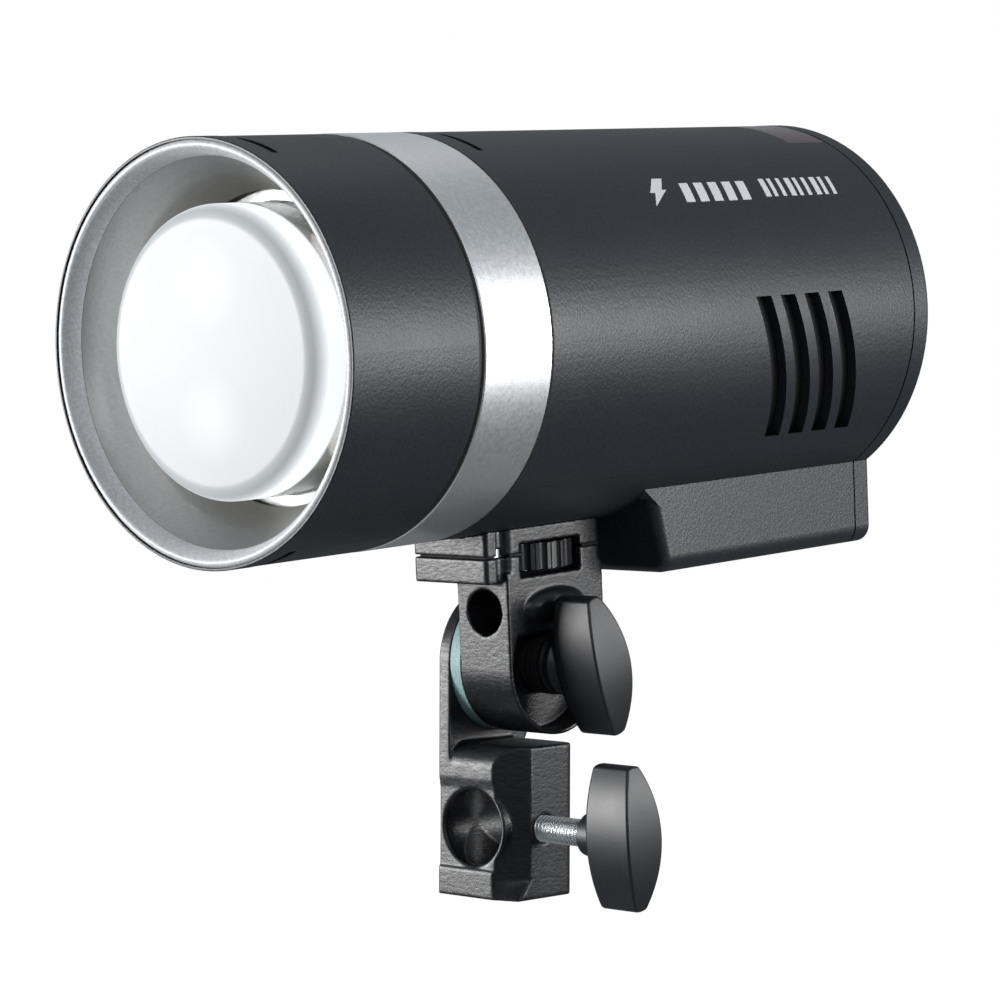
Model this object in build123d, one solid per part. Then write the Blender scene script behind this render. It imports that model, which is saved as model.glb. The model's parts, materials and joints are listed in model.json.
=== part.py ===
"""Monolight strobe on a tilting stand bracket, in millimetres.

The row frame stands the bracket on the mouth of its stand socket: origin at the centre of the
mouth, +Z up, the light's nose towards -Y and the two locking knobs on +X.
The light itself is drawn level in its own head frame, with its axis on Y, the front rim at y = 0
and the rear at y = HEAD_L, and is then tipped nose down about the tilt axis by TILT degrees.
"""

from build123d import *
import os
from math import cos, radians, sin

# ---- light body, head frame ---------------------------------------------------------------
HEAD_R = 43.5  # outside radius of ring, band, shells and rear cover
HEAD_L = 190.0  # front rim to the rear cover's face
WALL = 2.2  # moulded wall of the shells
RING_END = 35.8  # black front ring ends here
BAND_START, BAND_END = 37.6, 57.9  # satin band
SHELL_START, SHELL_END = 58.1, 183.5  # main shells
COVER_START = 184.0  # rear cover slab
PARTING = -46.9  # angle of the shells' parting line below the side
PARTING_GAP = 0.07  # half of the gap, in degrees

# ---- lamp and reflector ---------------------------------------------------------------------
DOME_R, DOME_FRONT, DOME_WALL = 30.0, 3.0, 1.8
CONE_R0, CONE_Y0 = 39.6, 3.9  # reflector cone at the lip
CONE_R1, CONE_Y1 = 32.4, 21.0  # reflector cone at its base
BASE_Y = 27.1  # front of the lamp base
TUBE_RING_R, TUBE_R, TUBE_Y = 18.5, 3.0, 18.5  # ring flash tube
TUBE_GAP = 46.0  # opening of the ring, in degrees
STEM_R, STEM_END = 2.6, 32.0

# ---- inlaid strips ----------------------------------------------------------------------------
FRONT_STRIP_HALF, TOP_STRIP_HALF = 25.0, 26.8  # half width in degrees
STRIP_DEPTH, STRIP_PROUD = 0.6, 0.08
FRONT_SLIT = (5.1, 7.3)
TOP_SLIT = (63.7, 65.7)
WINDOW_START = 169.9  # optical slave window behind the top strip

# ---- vents --------------------------------------------------------------------------------------
VENTS, VENT_W, VENT_PITCH = 4, 5.3, 8.57
VENT_Y, VENT_TOP, VENT_BOTTOM, VENT_LEAN = 125.6, 6.9, -37.3, 12.1

# ---- battery box --------------------------------------------------------------------------------
BOX_HALF, BOX_BOTTOM, BOX_EDGE = 24.7, -55.0, 4.0
BAY_HALF, BAY_BOTTOM, BAY_TOP = 22.4, -52.8, -31.7
BATTERY_START, BATTERY_PLAY = 118.0, 0.3

# ---- rear panel, head frame x and z -------------------------------------------------------------
OVERLAY_R, OVERLAY_T, OVERLAY_LOW = 37.0, 0.6, -27.0
LCD_W, LCD_H, LCD_Z = 40.0, 25.0, 18.5
DIAL_R, DIAL_HOLE, DIAL_Z, DIAL_PROUD = 11.5, 6.6, -12.0, 2.6
SET_R = 6.2
KEY_W, KEY_H, KEY_PROUD = 10.0, 5.2, 0.7
KEYS = {"mode_key": (-24.0, -6.5), "group_key": (-24.0, -17.5),
        "lamp_key": (24.0, -6.5), "test_key": (24.0, -17.5)}
POWER_X, POWER_Z, POWER_W, POWER_H = 0.0, 34.0, 12.0, 3.6
JACK_X, JACK_Z, JACK_R = -27.5, 8.0, 3.6
USB_W, USB_H = 10.0, 4.4

# ---- fan ----------------------------------------------------------------------------------------
FAN_Y0, FAN_Y1, FAN_Z, FAN_R, FAN_BLADES = 123.0, 138.0, 5.0, 22.5, 7

# ---- saddle, wheel and tilting bracket head, head frame -----------------------------------------
HINGE_S, HINGE_H = 92.2, -72.7  # tilt axis in the head frame
BARREL_R, BARREL_LEFT, BARREL_RIGHT = 15.7, -3.5, 11.4
CUP_R, CUP_FLOOR, CUP_TOP = 14.6, 5.4, 7.2  # recess in the barrel's knob side
PLATE_HALF, PLATE_CORNER, PLATE_REAR = 11.4, 2.4, 108.4
TONGUE_HALF, TONGUE_FRONT = 10.8, 70.8
SADDLE_BOTTOM, PLATE_TOP, PLATE_BOTTOM = -47.6, -48.05, -53.5
WHEEL_R, WHEEL_TOP, WHEEL_BOTTOM = 12.3, -46.0, -51.7
WHEEL_TEETH = 19
POCKET_R, POCKET_TOP, POCKET_BOTTOM = 12.9, -45.6, -52.2
SLOT = (80.9, 100.6, -52.9, -45.5)  # y and z limits of the wheel's window
SCREW_R, INSERT_BORE, INSERT_R = 3.15, 3.2, 4.6
UMBRELLA_X, UMBRELLA_Z, UMBRELLA_R = 4.3, -60.2, 4.9
UMBRELLA_TIP_R, UMBRELLA_TIP_DROP = 2.4, 2.8  # small circle at the foot of the egg-shaped hole
SWELL_Y, SWELL_Z, SWELL = -0.9, -59.7, (3.1, 9.8, 3.8)  # bulge over the umbrella hole

# ---- stand bracket, row frame -------------------------------------------------------------------
HINGE_Y, HINGE_Z, TILT = 5.45, 51.0, 3.74
ARM_LEFT, ARM_RIGHT, ARM_R = -9.7, -6.4, 15.9
BLOCK_RIGHT, BLOCK_NEAR, BLOCK_FAR, BLOCK_H = 12.2, -10.45, 9.9, 33.3
BLOCK_BEVEL, BEVEL_FOOT, FOOT_H = 6.0, 2.2, 4.2  # the bevel narrows to its foot near the bottom
BLOCK_BROW, BLOCK_CORNER = 4.9, 2.4
SOCKET_R, SOCKET_DEPTH = 8.2, 28.0
WINDOW_Z, WINDOW_CHAMFER, WINDOW_RIM = 15.3, 0.5, 9.4
FACE_STEP, FACE_BAND = 0.4, (6.0, 26.0)  # the front face is set back beside the window
WASHER_R = 15.7
BOLT_R, BOLT_CLEAR = 4.0, 0.06
BOLT_HEAD_R, BOLT_HEAD_T = 7.4, 2.0
THRUST_R, THRUST_X0, THRUST_X1 = 7.0, 9.0, 10.6
CLAMP_R, CLAMP_CLEAR, CLAMP_Z = 3.0, 0.05, 15.2
SHOE_FACE, SHOE_L = 8.3, 1.0

# ---- locking knobs ------------------------------------------------------------------------------
KNOB_HALF_L, KNOB_HALF_W, KNOB_END_W = 15.4, 5.7, 1.9
KNOB_T, KNOB_CROWN, KNOB_BACK_EDGE, KNOB_FRONT_EDGE = 10.3, 2.2, 1.3, 0.6
KNOB_TIP, KNOB_CORNER = 0.35, 1.2
TILT_KNOB_X, TILT_KNOB_LEAN = 14.9, 17.0
CLAMP_KNOB_X, CLAMP_KNOB_LEAN = 28.3, 5.4

HINGE_IN_HEAD = Location((0, HINGE_S, HINGE_H))
HEAD_PLACE = Location((0, HINGE_Y, HINGE_Z)) * Rot(TILT, 0, 0) * HINGE_IN_HEAD.inverse()


# ---- small geometry helpers -----------------------------------------------------------------
def block(x0, x1, y0, y1, z0, z1):
    """Box between two corners."""
    return Pos((x0 + x1) / 2, (y0 + y1) / 2, (z0 + z1) / 2) * Box(x1 - x0, y1 - y0, z1 - z0)


def rod_x(y, z, r, x0, x1):
    """Cylinder along X."""
    return Pos((x0 + x1) / 2, y, z) * Rot(0, 90, 0) * Cylinder(r, x1 - x0)


def rod_y(x, z, r, y0, y1):
    """Cylinder along Y."""
    return Pos(x, (y0 + y1) / 2, z) * Rot(90, 0, 0) * Cylinder(r, y1 - y0)


def rod_z(x, y, r, z0, z1):
    """Cylinder along Z."""
    return Pos(x, y, (z0 + z1) / 2) * Cylinder(r, z1 - z0)


def turned(points, low=None, high=None):
    """Solid of revolution about Y from (radius, y) points.

    low and high limit it to a sector, in degrees from +X towards +Z.
    """
    face = make_face(Polyline(*points, close=True))
    if low is None:
        return revolve(face, axis=Axis.Y)
    return Rot(0, -high, 0) * revolve(face, axis=Axis.Y, revolution_arc=high - low)


def sleeve(r0, r1, y0, y1, low=None, high=None):
    """Tube, or a sector of one, about Y."""
    return turned([(r0, y0), (r1, y0), (r1, y1), (r0, y1)], low, high)


def turned_x(points, y=0.0, z=0.0):
    """Solid of revolution about an X axis through (y, z), from (x, radius) points."""
    face = make_face(Polyline(*points, close=True))
    return Pos(0, y, z) * revolve(face, axis=Axis.X)


def prism_x(points, x0, x1):
    """Polygon of (y, z) points carried from x0 to x1."""
    face = Plane.YZ * make_face(Polyline(*points, close=True))
    return Pos(x0, 0, 0) * extrude(face, x1 - x0, dir=(1, 0, 0))


def rounded_plate(w, h, r, x, z, y0, y1):
    """Rounded rectangle in XZ between y0 and y1."""
    sketch = Plane((x, y0, z), x_dir=(1, 0, 0), z_dir=(0, 1, 0)) * RectangleRounded(w, h, r)
    return extrude(sketch, y1 - y0, dir=(0, 1, 0))


def mirrored(solid):
    """The solid with its mirror image on the other side of the light."""
    return solid + mirror(solid, about=Plane.YZ)


# ---- front of the light -----------------------------------------------------------------------
def strip_recess(half, y0, y1, middle):
    """Shallow recess for an inlaid strip, about the angle middle."""
    floor = HEAD_R - STRIP_DEPTH
    return sleeve(floor, HEAD_R + 1, y0, y1, middle - half, middle + half)


def strip_inlay(half, y0, y1, middle):
    """Curved strip that fills a recess and ends just under the surface."""
    floor, gap = HEAD_R - STRIP_DEPTH, 0.12
    return sleeve(floor, HEAD_R - STRIP_PROUD, y0, y1, middle - half + gap, middle + half - gap)


def front_ring():
    ring = turned([(42.95, 0), (43.3, 0), (HEAD_R, 0.2), (HEAD_R, RING_END - 0.2),
                   (HEAD_R - 0.2, RING_END), (41.6, RING_END), (41.6, 6.0), (42.95, 4.4)])
    for middle in (90, 270):
        ring -= strip_recess(FRONT_STRIP_HALF, FRONT_SLIT[0], RING_END + 1, middle)
    return ring


def front_strips():
    return [strip_inlay(FRONT_STRIP_HALF, FRONT_SLIT[1], RING_END, middle) for middle in (90, 270)]


def lip_ring():
    """Rolled bright lip in the mouth of the front ring."""
    outline = [
        Line((42.9, 2.2), (42.9, 0.8)),
        ThreePointArc((42.9, 0.8), (42.0, 0.1), (41.0, 0.6)),
        ThreePointArc((41.0, 0.6), (40.1, 2.1), (CONE_R0, CONE_Y0)),
        Line((CONE_R0, CONE_Y0), (41.0, CONE_Y0)),
        Line((41.0, CONE_Y0), (41.6, 2.2)),
        Line((41.6, 2.2), (42.9, 2.2)),
    ]
    return revolve(make_face(outline), axis=Axis.Y)


def reflector():
    return turned([(CONE_R0, CONE_Y0 + 0.1), (41.5, CONE_Y0 + 0.1), (41.5, 5.2), (40.2, 5.2),
                   (CONE_R1 + 0.9, CONE_Y1 + 0.5), (CONE_R1, CONE_Y1)])


def glass_dome():
    """Cup of glass over the flash tube: sandblasted in front, clear at the side."""
    edge, inner, foot = 2.8, DOME_R - DOME_WALL, BASE_Y - 1.0
    k = edge * (1 - cos(radians(45)))
    inner_edge = edge - DOME_WALL
    j = inner_edge * (1 - cos(radians(45)))
    top = DOME_FRONT + DOME_WALL
    outline = [
        Line((0, DOME_FRONT - 0.3), (DOME_R - edge, DOME_FRONT)),
        ThreePointArc((DOME_R - edge, DOME_FRONT), (DOME_R - k, DOME_FRONT + k),
                      (DOME_R, DOME_FRONT + edge)),
        Line((DOME_R, DOME_FRONT + edge), (DOME_R, foot)),
        Line((DOME_R, foot), (inner, foot)),
        Line((inner, foot), (inner, top + inner_edge)),
        ThreePointArc((inner, top + inner_edge), (inner - j, top + j), (inner - inner_edge, top)),
        Line((inner - inner_edge, top), (0, top)),
        Line((0, top), (0, DOME_FRONT - 0.3)),
    ]
    return revolve(make_face(outline), axis=Axis.Y)


def dome_holder():
    """Black ring that grips the foot of the dome and stands on the bulkhead."""
    return turned([(DOME_R + 0.2, 23), (40.5, 23), (40.5, 33), (38.5, 33), (38.5, BASE_Y),
                   (27, BASE_Y), (27, BASE_Y - 0.9), (DOME_R + 0.2, BASE_Y - 0.9)])


def tube_legs():
    """Centres (x, z) of the flash tube's two stems, each just clear of an end of the ring."""
    angle = radians(TUBE_GAP / 2) - (STEM_R + 0.1) / TUBE_RING_R
    return [(side * TUBE_RING_R * sin(angle), -TUBE_RING_R * cos(angle)) for side in (-1, 1)]


def inner_reflector():
    dish = turned([(27.3, 13.5), (27.8, 13.5), (26.3, 21.0), (20.0, 25.7), (9.0, BASE_Y),
                   (9.0, BASE_Y - 0.6), (19.7, 25.1), (25.7, 20.7)])
    for x, z in tube_legs():
        dish -= rod_y(x, z, STEM_R + 0.6, 15, BASE_Y + 1)
    return dish


def flash_tube():
    """Ring of glass tube, open at the bottom, whose ends meet two stems from the base."""
    section = Pos(TUBE_RING_R, TUBE_Y, 0) * Circle(TUBE_R)
    ring = Rot(0, 90 - 1.5 * TUBE_GAP, 0) * revolve(
        section, axis=Axis.Y, revolution_arc=360 - TUBE_GAP)
    stems = [rod_y(x, z, STEM_R, TUBE_Y - TUBE_R, STEM_END) for x, z in tube_legs()]
    return [ring, *stems]


def tube_sockets():
    return [rod_y(x, z, 4.0, BASE_Y + 2.1, 33.0) - rod_y(x, z, STEM_R, 20, STEM_END)
            for x, z in tube_legs()]


def lamp_base():
    plate = sleeve(8.6, 38.4, BASE_Y + 0.05, BASE_Y + 2.05)
    for x, z in tube_legs():
        plate -= rod_y(x, z, STEM_R + 0.3, 20, 40)
    return plate


def led_board():
    return rod_y(0, 0, 8.4, 23.6, 25.0)


def led_lens():
    """Low glass cap over the modelling light's emitter."""
    cap = Pos(0, 25.6, 0) * Sphere(5.4)
    return cap & block(-8, 8, 18, 23.6, -8, 8)


def led_heat_sink():
    sink = rod_y(0, 0, 8.4, 25.0, BASE_Y + 2.1) + rod_y(0, 0, 13.4, BASE_Y + 2.1, 34.0)
    sink += rod_y(0, 0, 27.0, 34.0, 37.0)
    fins = [block(-27, 27, 37.0, 54.0, z - 0.7, z + 0.7) for z in range(-24, 25, 6)]
    for fin in fins:
        sink += fin & rod_y(0, 0, 27.0, 36.0, 55.0)
    return sink


def front_bulkhead():
    """Dark ring that joins the front ring, the band and the shells from inside."""
    return turned([(30, 33), (41.5, 33), (41.5, RING_END), (42.7, RING_END + 0.1),
                   (42.7, BAND_START), (40.95, BAND_START), (40.95, 62), (39.5, 62),
                   (39.5, BAND_START), (30, BAND_START)])


def silver_band():
    bevel = 0.25
    return turned([(41.0, BAND_START), (HEAD_R - bevel, BAND_START), (HEAD_R, BAND_START + bevel),
                   (HEAD_R, BAND_END - bevel), (HEAD_R - bevel, BAND_END), (41.0, BAND_END)])


# ---- main shells ------------------------------------------------------------------------------
def vent_cutters():
    """Slanted slots that follow the cylinder: each side edge is an arc through three heights."""
    def edge_point(y0, share):
        angle = VENT_TOP + (VENT_BOTTOM - VENT_TOP) * share
        return (y0 + VENT_LEAN * share, HEAD_R * sin(radians(angle)))

    cutters = []
    for i in range(VENTS):
        y0 = VENT_Y + i * VENT_PITCH
        left = [edge_point(y0, share) for share in (0, 0.5, 1)]
        right = [edge_point(y0 + VENT_W, share) for share in (0, 0.5, 1)]
        outline = [ThreePointArc(*left), Line(left[2], right[2]),
                   ThreePointArc(*reversed(right)), Line(right[0], left[0])]
        slot = extrude(Plane.YZ * make_face(outline), 60, dir=(1, 0, 0))
        cutters.append(Pos(20, 0, 0) * slot)
    return cutters


def main_shell_upper():
    low, high = PARTING + PARTING_GAP, 180 - PARTING - PARTING_GAP
    shell = sleeve(HEAD_R - WALL, HEAD_R, SHELL_START, SHELL_END, low, high)
    for cutter in vent_cutters():
        shell -= cutter
        shell -= mirror(cutter, about=Plane.YZ)
    shell -= strip_recess(TOP_STRIP_HALF, TOP_SLIT[0], SHELL_END + 1, 90)
    shell -= sleeve(40, HEAD_R, WINDOW_START + 3, SHELL_END - 3, 90 - 20, 90 + 20)
    return shell


def top_strip():
    return strip_inlay(TOP_STRIP_HALF, TOP_SLIT[1], WINDOW_START - 0.1, 90)


def optical_window():
    pane = strip_inlay(TOP_STRIP_HALF, WINDOW_START, SHELL_END, 90)
    pane += sleeve(41.6, HEAD_R - STRIP_DEPTH + 0.1, WINDOW_START + 3.1, SHELL_END - 3.1, 71, 109)
    return pane


def battery_box():
    """Outside of the box under the rear half, before the cylinder is taken out."""
    side = [(105.5, -30), (107.5, -35.8), (110.4, -38.2), (114.6, BOX_BOTTOM),
            (SHELL_END, BOX_BOTTOM), (SHELL_END, -30)]
    box = prism_x(side, -BOX_HALF, BOX_HALF)
    lower = box.edges().filter_by(Axis.Y).sort_by(Axis.Z)[:2]
    box = fillet(lower, BOX_EDGE)
    front = box.edges().filter_by(Axis.X).filter_by_position(Axis.Y, 114, 115)
    return fillet(front, 2.5)


def main_shell_lower():
    low, high = 180 - PARTING + PARTING_GAP, 360 + PARTING - PARTING_GAP
    shell = sleeve(HEAD_R - WALL, HEAD_R, SHELL_START, SHELL_END, low, high)
    shell += battery_box()
    shell -= rod_y(0, 0, HEAD_R - WALL, 100, 200)
    bay = [(111.5, -25), (112.5, -38), (117.4, BAY_BOTTOM), (200, BAY_BOTTOM), (200, -25)]
    shell -= prism_x(bay, -BAY_HALF, BAY_HALF)
    roof = block(-35, 35, 108, 178, BAY_TOP, BAY_TOP + 1.2)
    shell += roof & rod_y(0, 0, HEAD_R - WALL + 0.2, 100, 190)
    shell -= rod_z(0, HINGE_S, INSERT_R + 0.05, -50, -30)
    for x, y in saddle_screw_places():
        shell -= rod_z(x, y, 1.55, -50, -30)
    return shell


# ---- rear end -----------------------------------------------------------------------------------
def battery_opening():
    half = BAY_HALF - 0.1
    return block(-half, half, 170, 200, BAY_BOTTOM, BAY_TOP)


def rear_cover():
    """End slab in the outline of cylinder and box, with a spigot inside the shells."""
    slab = rod_y(0, 0, HEAD_R, COVER_START, HEAD_L)
    foot = block(-BOX_HALF, BOX_HALF, COVER_START, HEAD_L, BOX_BOTTOM, -20)
    foot = fillet(foot.edges().filter_by(Axis.Y).sort_by(Axis.Z)[:2], BOX_EDGE)
    slab += foot
    rim = slab.faces().sort_by(Axis.Y)[-1].edges()
    slab = fillet(rim, 1.4)
    slab -= rod_y(0, 0, 41.1, COVER_START - 1, COVER_START + 3.5)
    spigot = sleeve(39.4, 41.1, 179.5, COVER_START + 3.6)
    spigot -= block(-30, 30, 170, COVER_START + 4, -60, -29.5)
    slab += spigot
    slab += battery_frame()
    slab -= battery_opening()
    slab -= overlay_shape(HEAD_L - OVERLAY_T, HEAD_L + 1, 0.1)
    slab -= rounded_plate(LCD_W - 2, LCD_H - 2, 1.0, 0, LCD_Z, 180, 200)
    slab -= rod_y(0, DIAL_Z, DIAL_R + 0.3, 180, 200)
    for x, z in KEYS.values():
        slab -= rounded_plate(KEY_W + 0.4, KEY_H + 0.4, 2.2, x, z, 180, 200)
    slab -= rounded_plate(POWER_W + 0.4, POWER_H + 0.4, 1.6, POWER_X, POWER_Z, 180, 200)
    slab -= rod_y(JACK_X, JACK_Z, JACK_R, 180, 200)
    slab -= rounded_plate(USB_W, USB_H, 1.6, -JACK_X, JACK_Z, 180, 200)
    for x, z in cover_screw_places():
        slab -= rod_y(x, z, 1.8, 188.4, 200) + rod_y(x, z, 0.95, 181, 200)
    return slab


def battery_frame():
    """Lower part of the cover around the battery's end."""
    frame = block(-BAY_HALF - 0.2, BAY_HALF + 0.2, COVER_START, COVER_START + 3.6,
                  BOX_BOTTOM + 1.5, -28.6)
    return frame & (rod_y(0, 0, HEAD_R - 1, 183, 189) + block(-23, 23, 183, 189, -54, -30))


def overlay_shape(y0, y1, gap=0.0):
    """Disc with a straight lower edge: the glossy control panel."""
    disc = rod_y(0, 0, OVERLAY_R + gap, y0, y1)
    return disc & block(-50, 50, y0 - 1, y1 + 1, OVERLAY_LOW - gap, 50)


def panel_overlay():
    panel = overlay_shape(HEAD_L - OVERLAY_T, HEAD_L)
    panel = fillet(panel.edges().filter_by(Axis.Y), 3.0)
    panel -= rounded_plate(LCD_W, LCD_H, 1.5, 0, LCD_Z, 180, 200)
    panel -= rod_y(0, DIAL_Z, DIAL_R + 0.3, 180, 200)
    for x, z in KEYS.values():
        panel -= rounded_plate(KEY_W + 0.4, KEY_H + 0.4, 2.2, x, z, 180, 200)
    panel -= rounded_plate(POWER_W + 0.4, POWER_H + 0.4, 1.6, POWER_X, POWER_Z, 180, 200)
    panel -= rod_y(JACK_X, JACK_Z, JACK_R, 180, 200)
    panel -= rounded_plate(USB_W, USB_H, 1.6, -JACK_X, JACK_Z, 180, 200)
    return panel


def lcd_window():
    return rounded_plate(LCD_W - 0.1, LCD_H - 0.1, 1.4, 0, LCD_Z, HEAD_L - OVERLAY_T, HEAD_L - 0.05)


def lcd_module():
    return rounded_plate(LCD_W - 2.6, LCD_H - 2.6, 0.8, 0, LCD_Z, 181.6, HEAD_L - OVERLAY_T)


def dial():
    """Knurled control ring with a hole for the set button."""
    outline = Circle(DIAL_R) - PolarLocations(DIAL_R + 0.25, 40) * Circle(0.55)
    outline -= Circle(DIAL_HOLE)
    place = Plane((0, 186.0, DIAL_Z), x_dir=(1, 0, 0), z_dir=(0, 1, 0))
    ring = extrude(place * outline, HEAD_L + DIAL_PROUD - 186.0, dir=(0, 1, 0))
    collar = sleeve(DIAL_HOLE, DIAL_R - 1, 182.2, 186.0)
    return ring + Pos(0, 0, DIAL_Z) * collar


def set_button():
    button = rod_y(0, DIAL_Z, SET_R, 183.4, HEAD_L + DIAL_PROUD - 0.4)
    return chamfer(button.faces().sort_by(Axis.Y)[-1].edges(), 0.5)


def key(name):
    x, z = KEYS[name]
    cap = rounded_plate(KEY_W, KEY_H, 2.0, x, z, 184.5, HEAD_L + KEY_PROUD)
    return fillet(cap.faces().sort_by(Axis.Y)[-1].edges(), 0.4)


def power_button():
    cap = rounded_plate(POWER_W, POWER_H, 1.4, POWER_X, POWER_Z, 184.5, HEAD_L + KEY_PROUD)
    return fillet(cap.faces().sort_by(Axis.Y)[-1].edges(), 0.4)


def sync_jack():
    """3.5 mm socket: metal bush in a square housing."""
    jack = rod_y(JACK_X, JACK_Z, JACK_R - 0.05, 182.5, HEAD_L - 0.1)
    jack += block(JACK_X - 4, JACK_X + 4, 180.2, 183.5, JACK_Z - 4, JACK_Z + 4)
    return jack - rod_y(JACK_X, JACK_Z, 1.8, 181.0, 200)


def usb_port():
    shell = rounded_plate(USB_W - 0.1, USB_H - 0.1, 1.6, -JACK_X, JACK_Z, 181.5, HEAD_L - 0.1)
    shell -= rounded_plate(USB_W - 1.1, USB_H - 1.1, 1.2, -JACK_X, JACK_Z, 183.5, 200)
    return shell + block(-JACK_X - 3.2, -JACK_X + 3.2, 183, 188.5, JACK_Z - 0.35, JACK_Z + 0.35)


def cover_screw_places():
    return [(39.9 * cos(radians(a)), 39.9 * sin(radians(a))) for a in (48, 132, 200, 340)]


def cover_screws():
    return [rod_y(x, z, 1.7, 188.4, 189.7) + rod_y(x, z, 0.9, 181, 188.4)
            for x, z in cover_screw_places()]


def battery_pack():
    """Slide-out battery whose end closes the box."""
    g = BATTERY_PLAY
    pack = block(-BAY_HALF + g, BAY_HALF - g, BATTERY_START, HEAD_L - 0.6,
                 BAY_BOTTOM + g, BAY_TOP - g)
    pack = fillet(pack.edges().filter_by(Axis.Y), 2.0)
    pack -= rounded_plate(18.4, 7.4, 2.2, 0, -42.0, 180, 200)
    pack -= rounded_plate(30, 2.4, 1.1, 0, -50.0, HEAD_L - 2, HEAD_L)
    return pack


def battery_latch():
    latch = rounded_plate(18, 7, 2.0, 0, -42.0, 182.5, HEAD_L - 0.7)
    return fillet(latch.faces().sort_by(Axis.Y)[-1].edges(), 0.5)


def battery_contacts():
    """Contact block on the front wall of the bay."""
    return block(-9, 9, 114.4, BATTERY_START - 0.3, -41, BAY_TOP - 0.02)


# ---- works inside the shells ------------------------------------------------------------------
def power_board():
    board = block(-33, 33, 63, 168, -21.6, -20.0)
    return board - block(-14, 14, 147, 167, -22, -19)


def capacitors():
    return [rod_y(x, 2.0, 15.0, 63.5, 117.0) for x in (-17, 17)]


def capacitor_cradle():
    """Bridge that carries both flash capacitors on the power board."""
    cradle = block(-30, 30, 80, 98, -20.0, -4.0)
    for x in (-17, 17):
        cradle -= rod_y(x, 2.0, 15.05, 79, 99)
    return cradle


def transformer():
    core = block(-13.5, 13.5, 147.5, 166.5, -24.5, -4.0)
    return core + block(-10, 10, 144.5, 169.5, -19.9, -7.5)


def control_board():
    board = rod_y(0, 0, 37.5, 172.0, 173.6)
    return board & block(-50, 50, 170, 175, -28.5, 50)


def panel_board():
    board = rod_y(0, 0, 37.5, 178.4, 180.0)
    return board & block(-50, 50, 170, 185, -28.5, 50)


def fan_frame():
    frame = rounded_plate(50, 50, 4, 0, FAN_Z, FAN_Y0, FAN_Y1)
    frame -= rod_y(0, FAN_Z, FAN_R + 0.6, FAN_Y0 - 1, FAN_Y1 + 1)
    for angle in (45, 135):
        bar = Pos(0, 0, FAN_Z) * (Rot(0, angle, 0) * block(-24, 24, FAN_Y0, FAN_Y0 + 2, -1.6, 1.6))
        frame += bar
    frame += rod_y(0, FAN_Z, 8.5, FAN_Y0, FAN_Y0 + 2)
    frame += rod_y(0, FAN_Z, 1.5, FAN_Y0 + 2, FAN_Y1 - 4)
    for x, z in [(sx * 21.5, FAN_Z + sz * 21.5) for sx in (-1, 1) for sz in (-1, 1)]:
        frame -= rod_y(x, z, 1.7, FAN_Y0 - 1, FAN_Y1 + 1)
    return frame


def fan_rotor():
    hub = rod_y(0, FAN_Z, 9.5, FAN_Y0 + 2.6, FAN_Y1 - 0.6)
    for i in range(FAN_BLADES):
        blade = Pos(0, 0, 15.3) * Rot(0, 0, 38) * Box(12.5, 1.2, 13.6)
        hub += Pos(0, (FAN_Y0 + FAN_Y1) / 2 + 1, FAN_Z) * Rot(0, i * 360 / FAN_BLADES, 0) * blade
    hub = hub & rod_y(0, FAN_Z, FAN_R, FAN_Y0 + 2.6, FAN_Y1 - 0.6)
    return hub - rod_y(0, FAN_Z, 1.55, FAN_Y0, FAN_Y1 - 3.4)


# ---- saddle and mounting wheel ------------------------------------------------------------------
def saddle_screw_places():
    return [(x, y) for x in (-7.4, 7.4) for y in (75.4, 106.1)]


def plate_outline():
    """Plan of the saddle and of the bracket's plate: a block with a narrower tongue in front."""
    front = HINGE_S - BARREL_R
    plan = Pos(0, (front + PLATE_REAR) / 2) * RectangleRounded(
        2 * PLATE_HALF, PLATE_REAR - front, PLATE_CORNER)
    plan += Pos(0, (TONGUE_FRONT + front) / 2 + 1.5) * RectangleRounded(
        2 * TONGUE_HALF, front - TONGUE_FRONT + 3, 1.0)
    for x in (-TONGUE_HALF - 0.6, TONGUE_HALF + 0.6):
        plan -= Pos(x, front - 0.9) * Circle(1.7)
    return plan


def wheel_space():
    """Pocket for the wheel, with its window in both sides."""
    space = rod_z(0, HINGE_S, POCKET_R, POCKET_BOTTOM, POCKET_TOP)
    return space + mirrored(block(7.5, 20, *SLOT))


def saddle_plate():
    plate = Pos(0, 0, SADDLE_BOTTOM) * extrude(plate_outline(), 9.0)
    plate -= rod_y(0, 0, HEAD_R + 0.02, 60, 120)
    plate -= wheel_space()
    plate -= rod_z(0, HINGE_S, INSERT_R, -50, -30)
    for x, y in saddle_screw_places():
        plate -= rod_z(x, y, 1.55, -50, -30) + rod_z(x, y, 2.5, -50, -46.2)
    return plate


def thread_insert():
    insert = rod_z(0, HINGE_S, INSERT_R, -45.6, -36.0)
    return insert - rod_z(0, HINGE_S, INSERT_BORE, -50, -30)


def saddle_screws():
    return [rod_z(x, y, 2.4, -48.0, -46.2) + rod_z(x, y, 1.5, -46.2, -37.0)
            for x, y in saddle_screw_places()]


def mount_wheel():
    plan = Circle(WHEEL_R) - PolarLocations(WHEEL_R + 0.25, WHEEL_TEETH) * Circle(1.1)
    plan -= PolarLocations(WHEEL_R, WHEEL_TEETH, 180 / WHEEL_TEETH) * Circle(0.22)
    wheel = Pos(0, HINGE_S, WHEEL_BOTTOM) * extrude(plan, WHEEL_TOP - WHEEL_BOTTOM)
    return wheel - rod_z(0, HINGE_S, SCREW_R, -60, -40)


def mount_screw():
    screw = rod_z(0, HINGE_S, SCREW_R, -53.9, -40.0)
    return chamfer(screw.edges(), 0.4)


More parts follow.
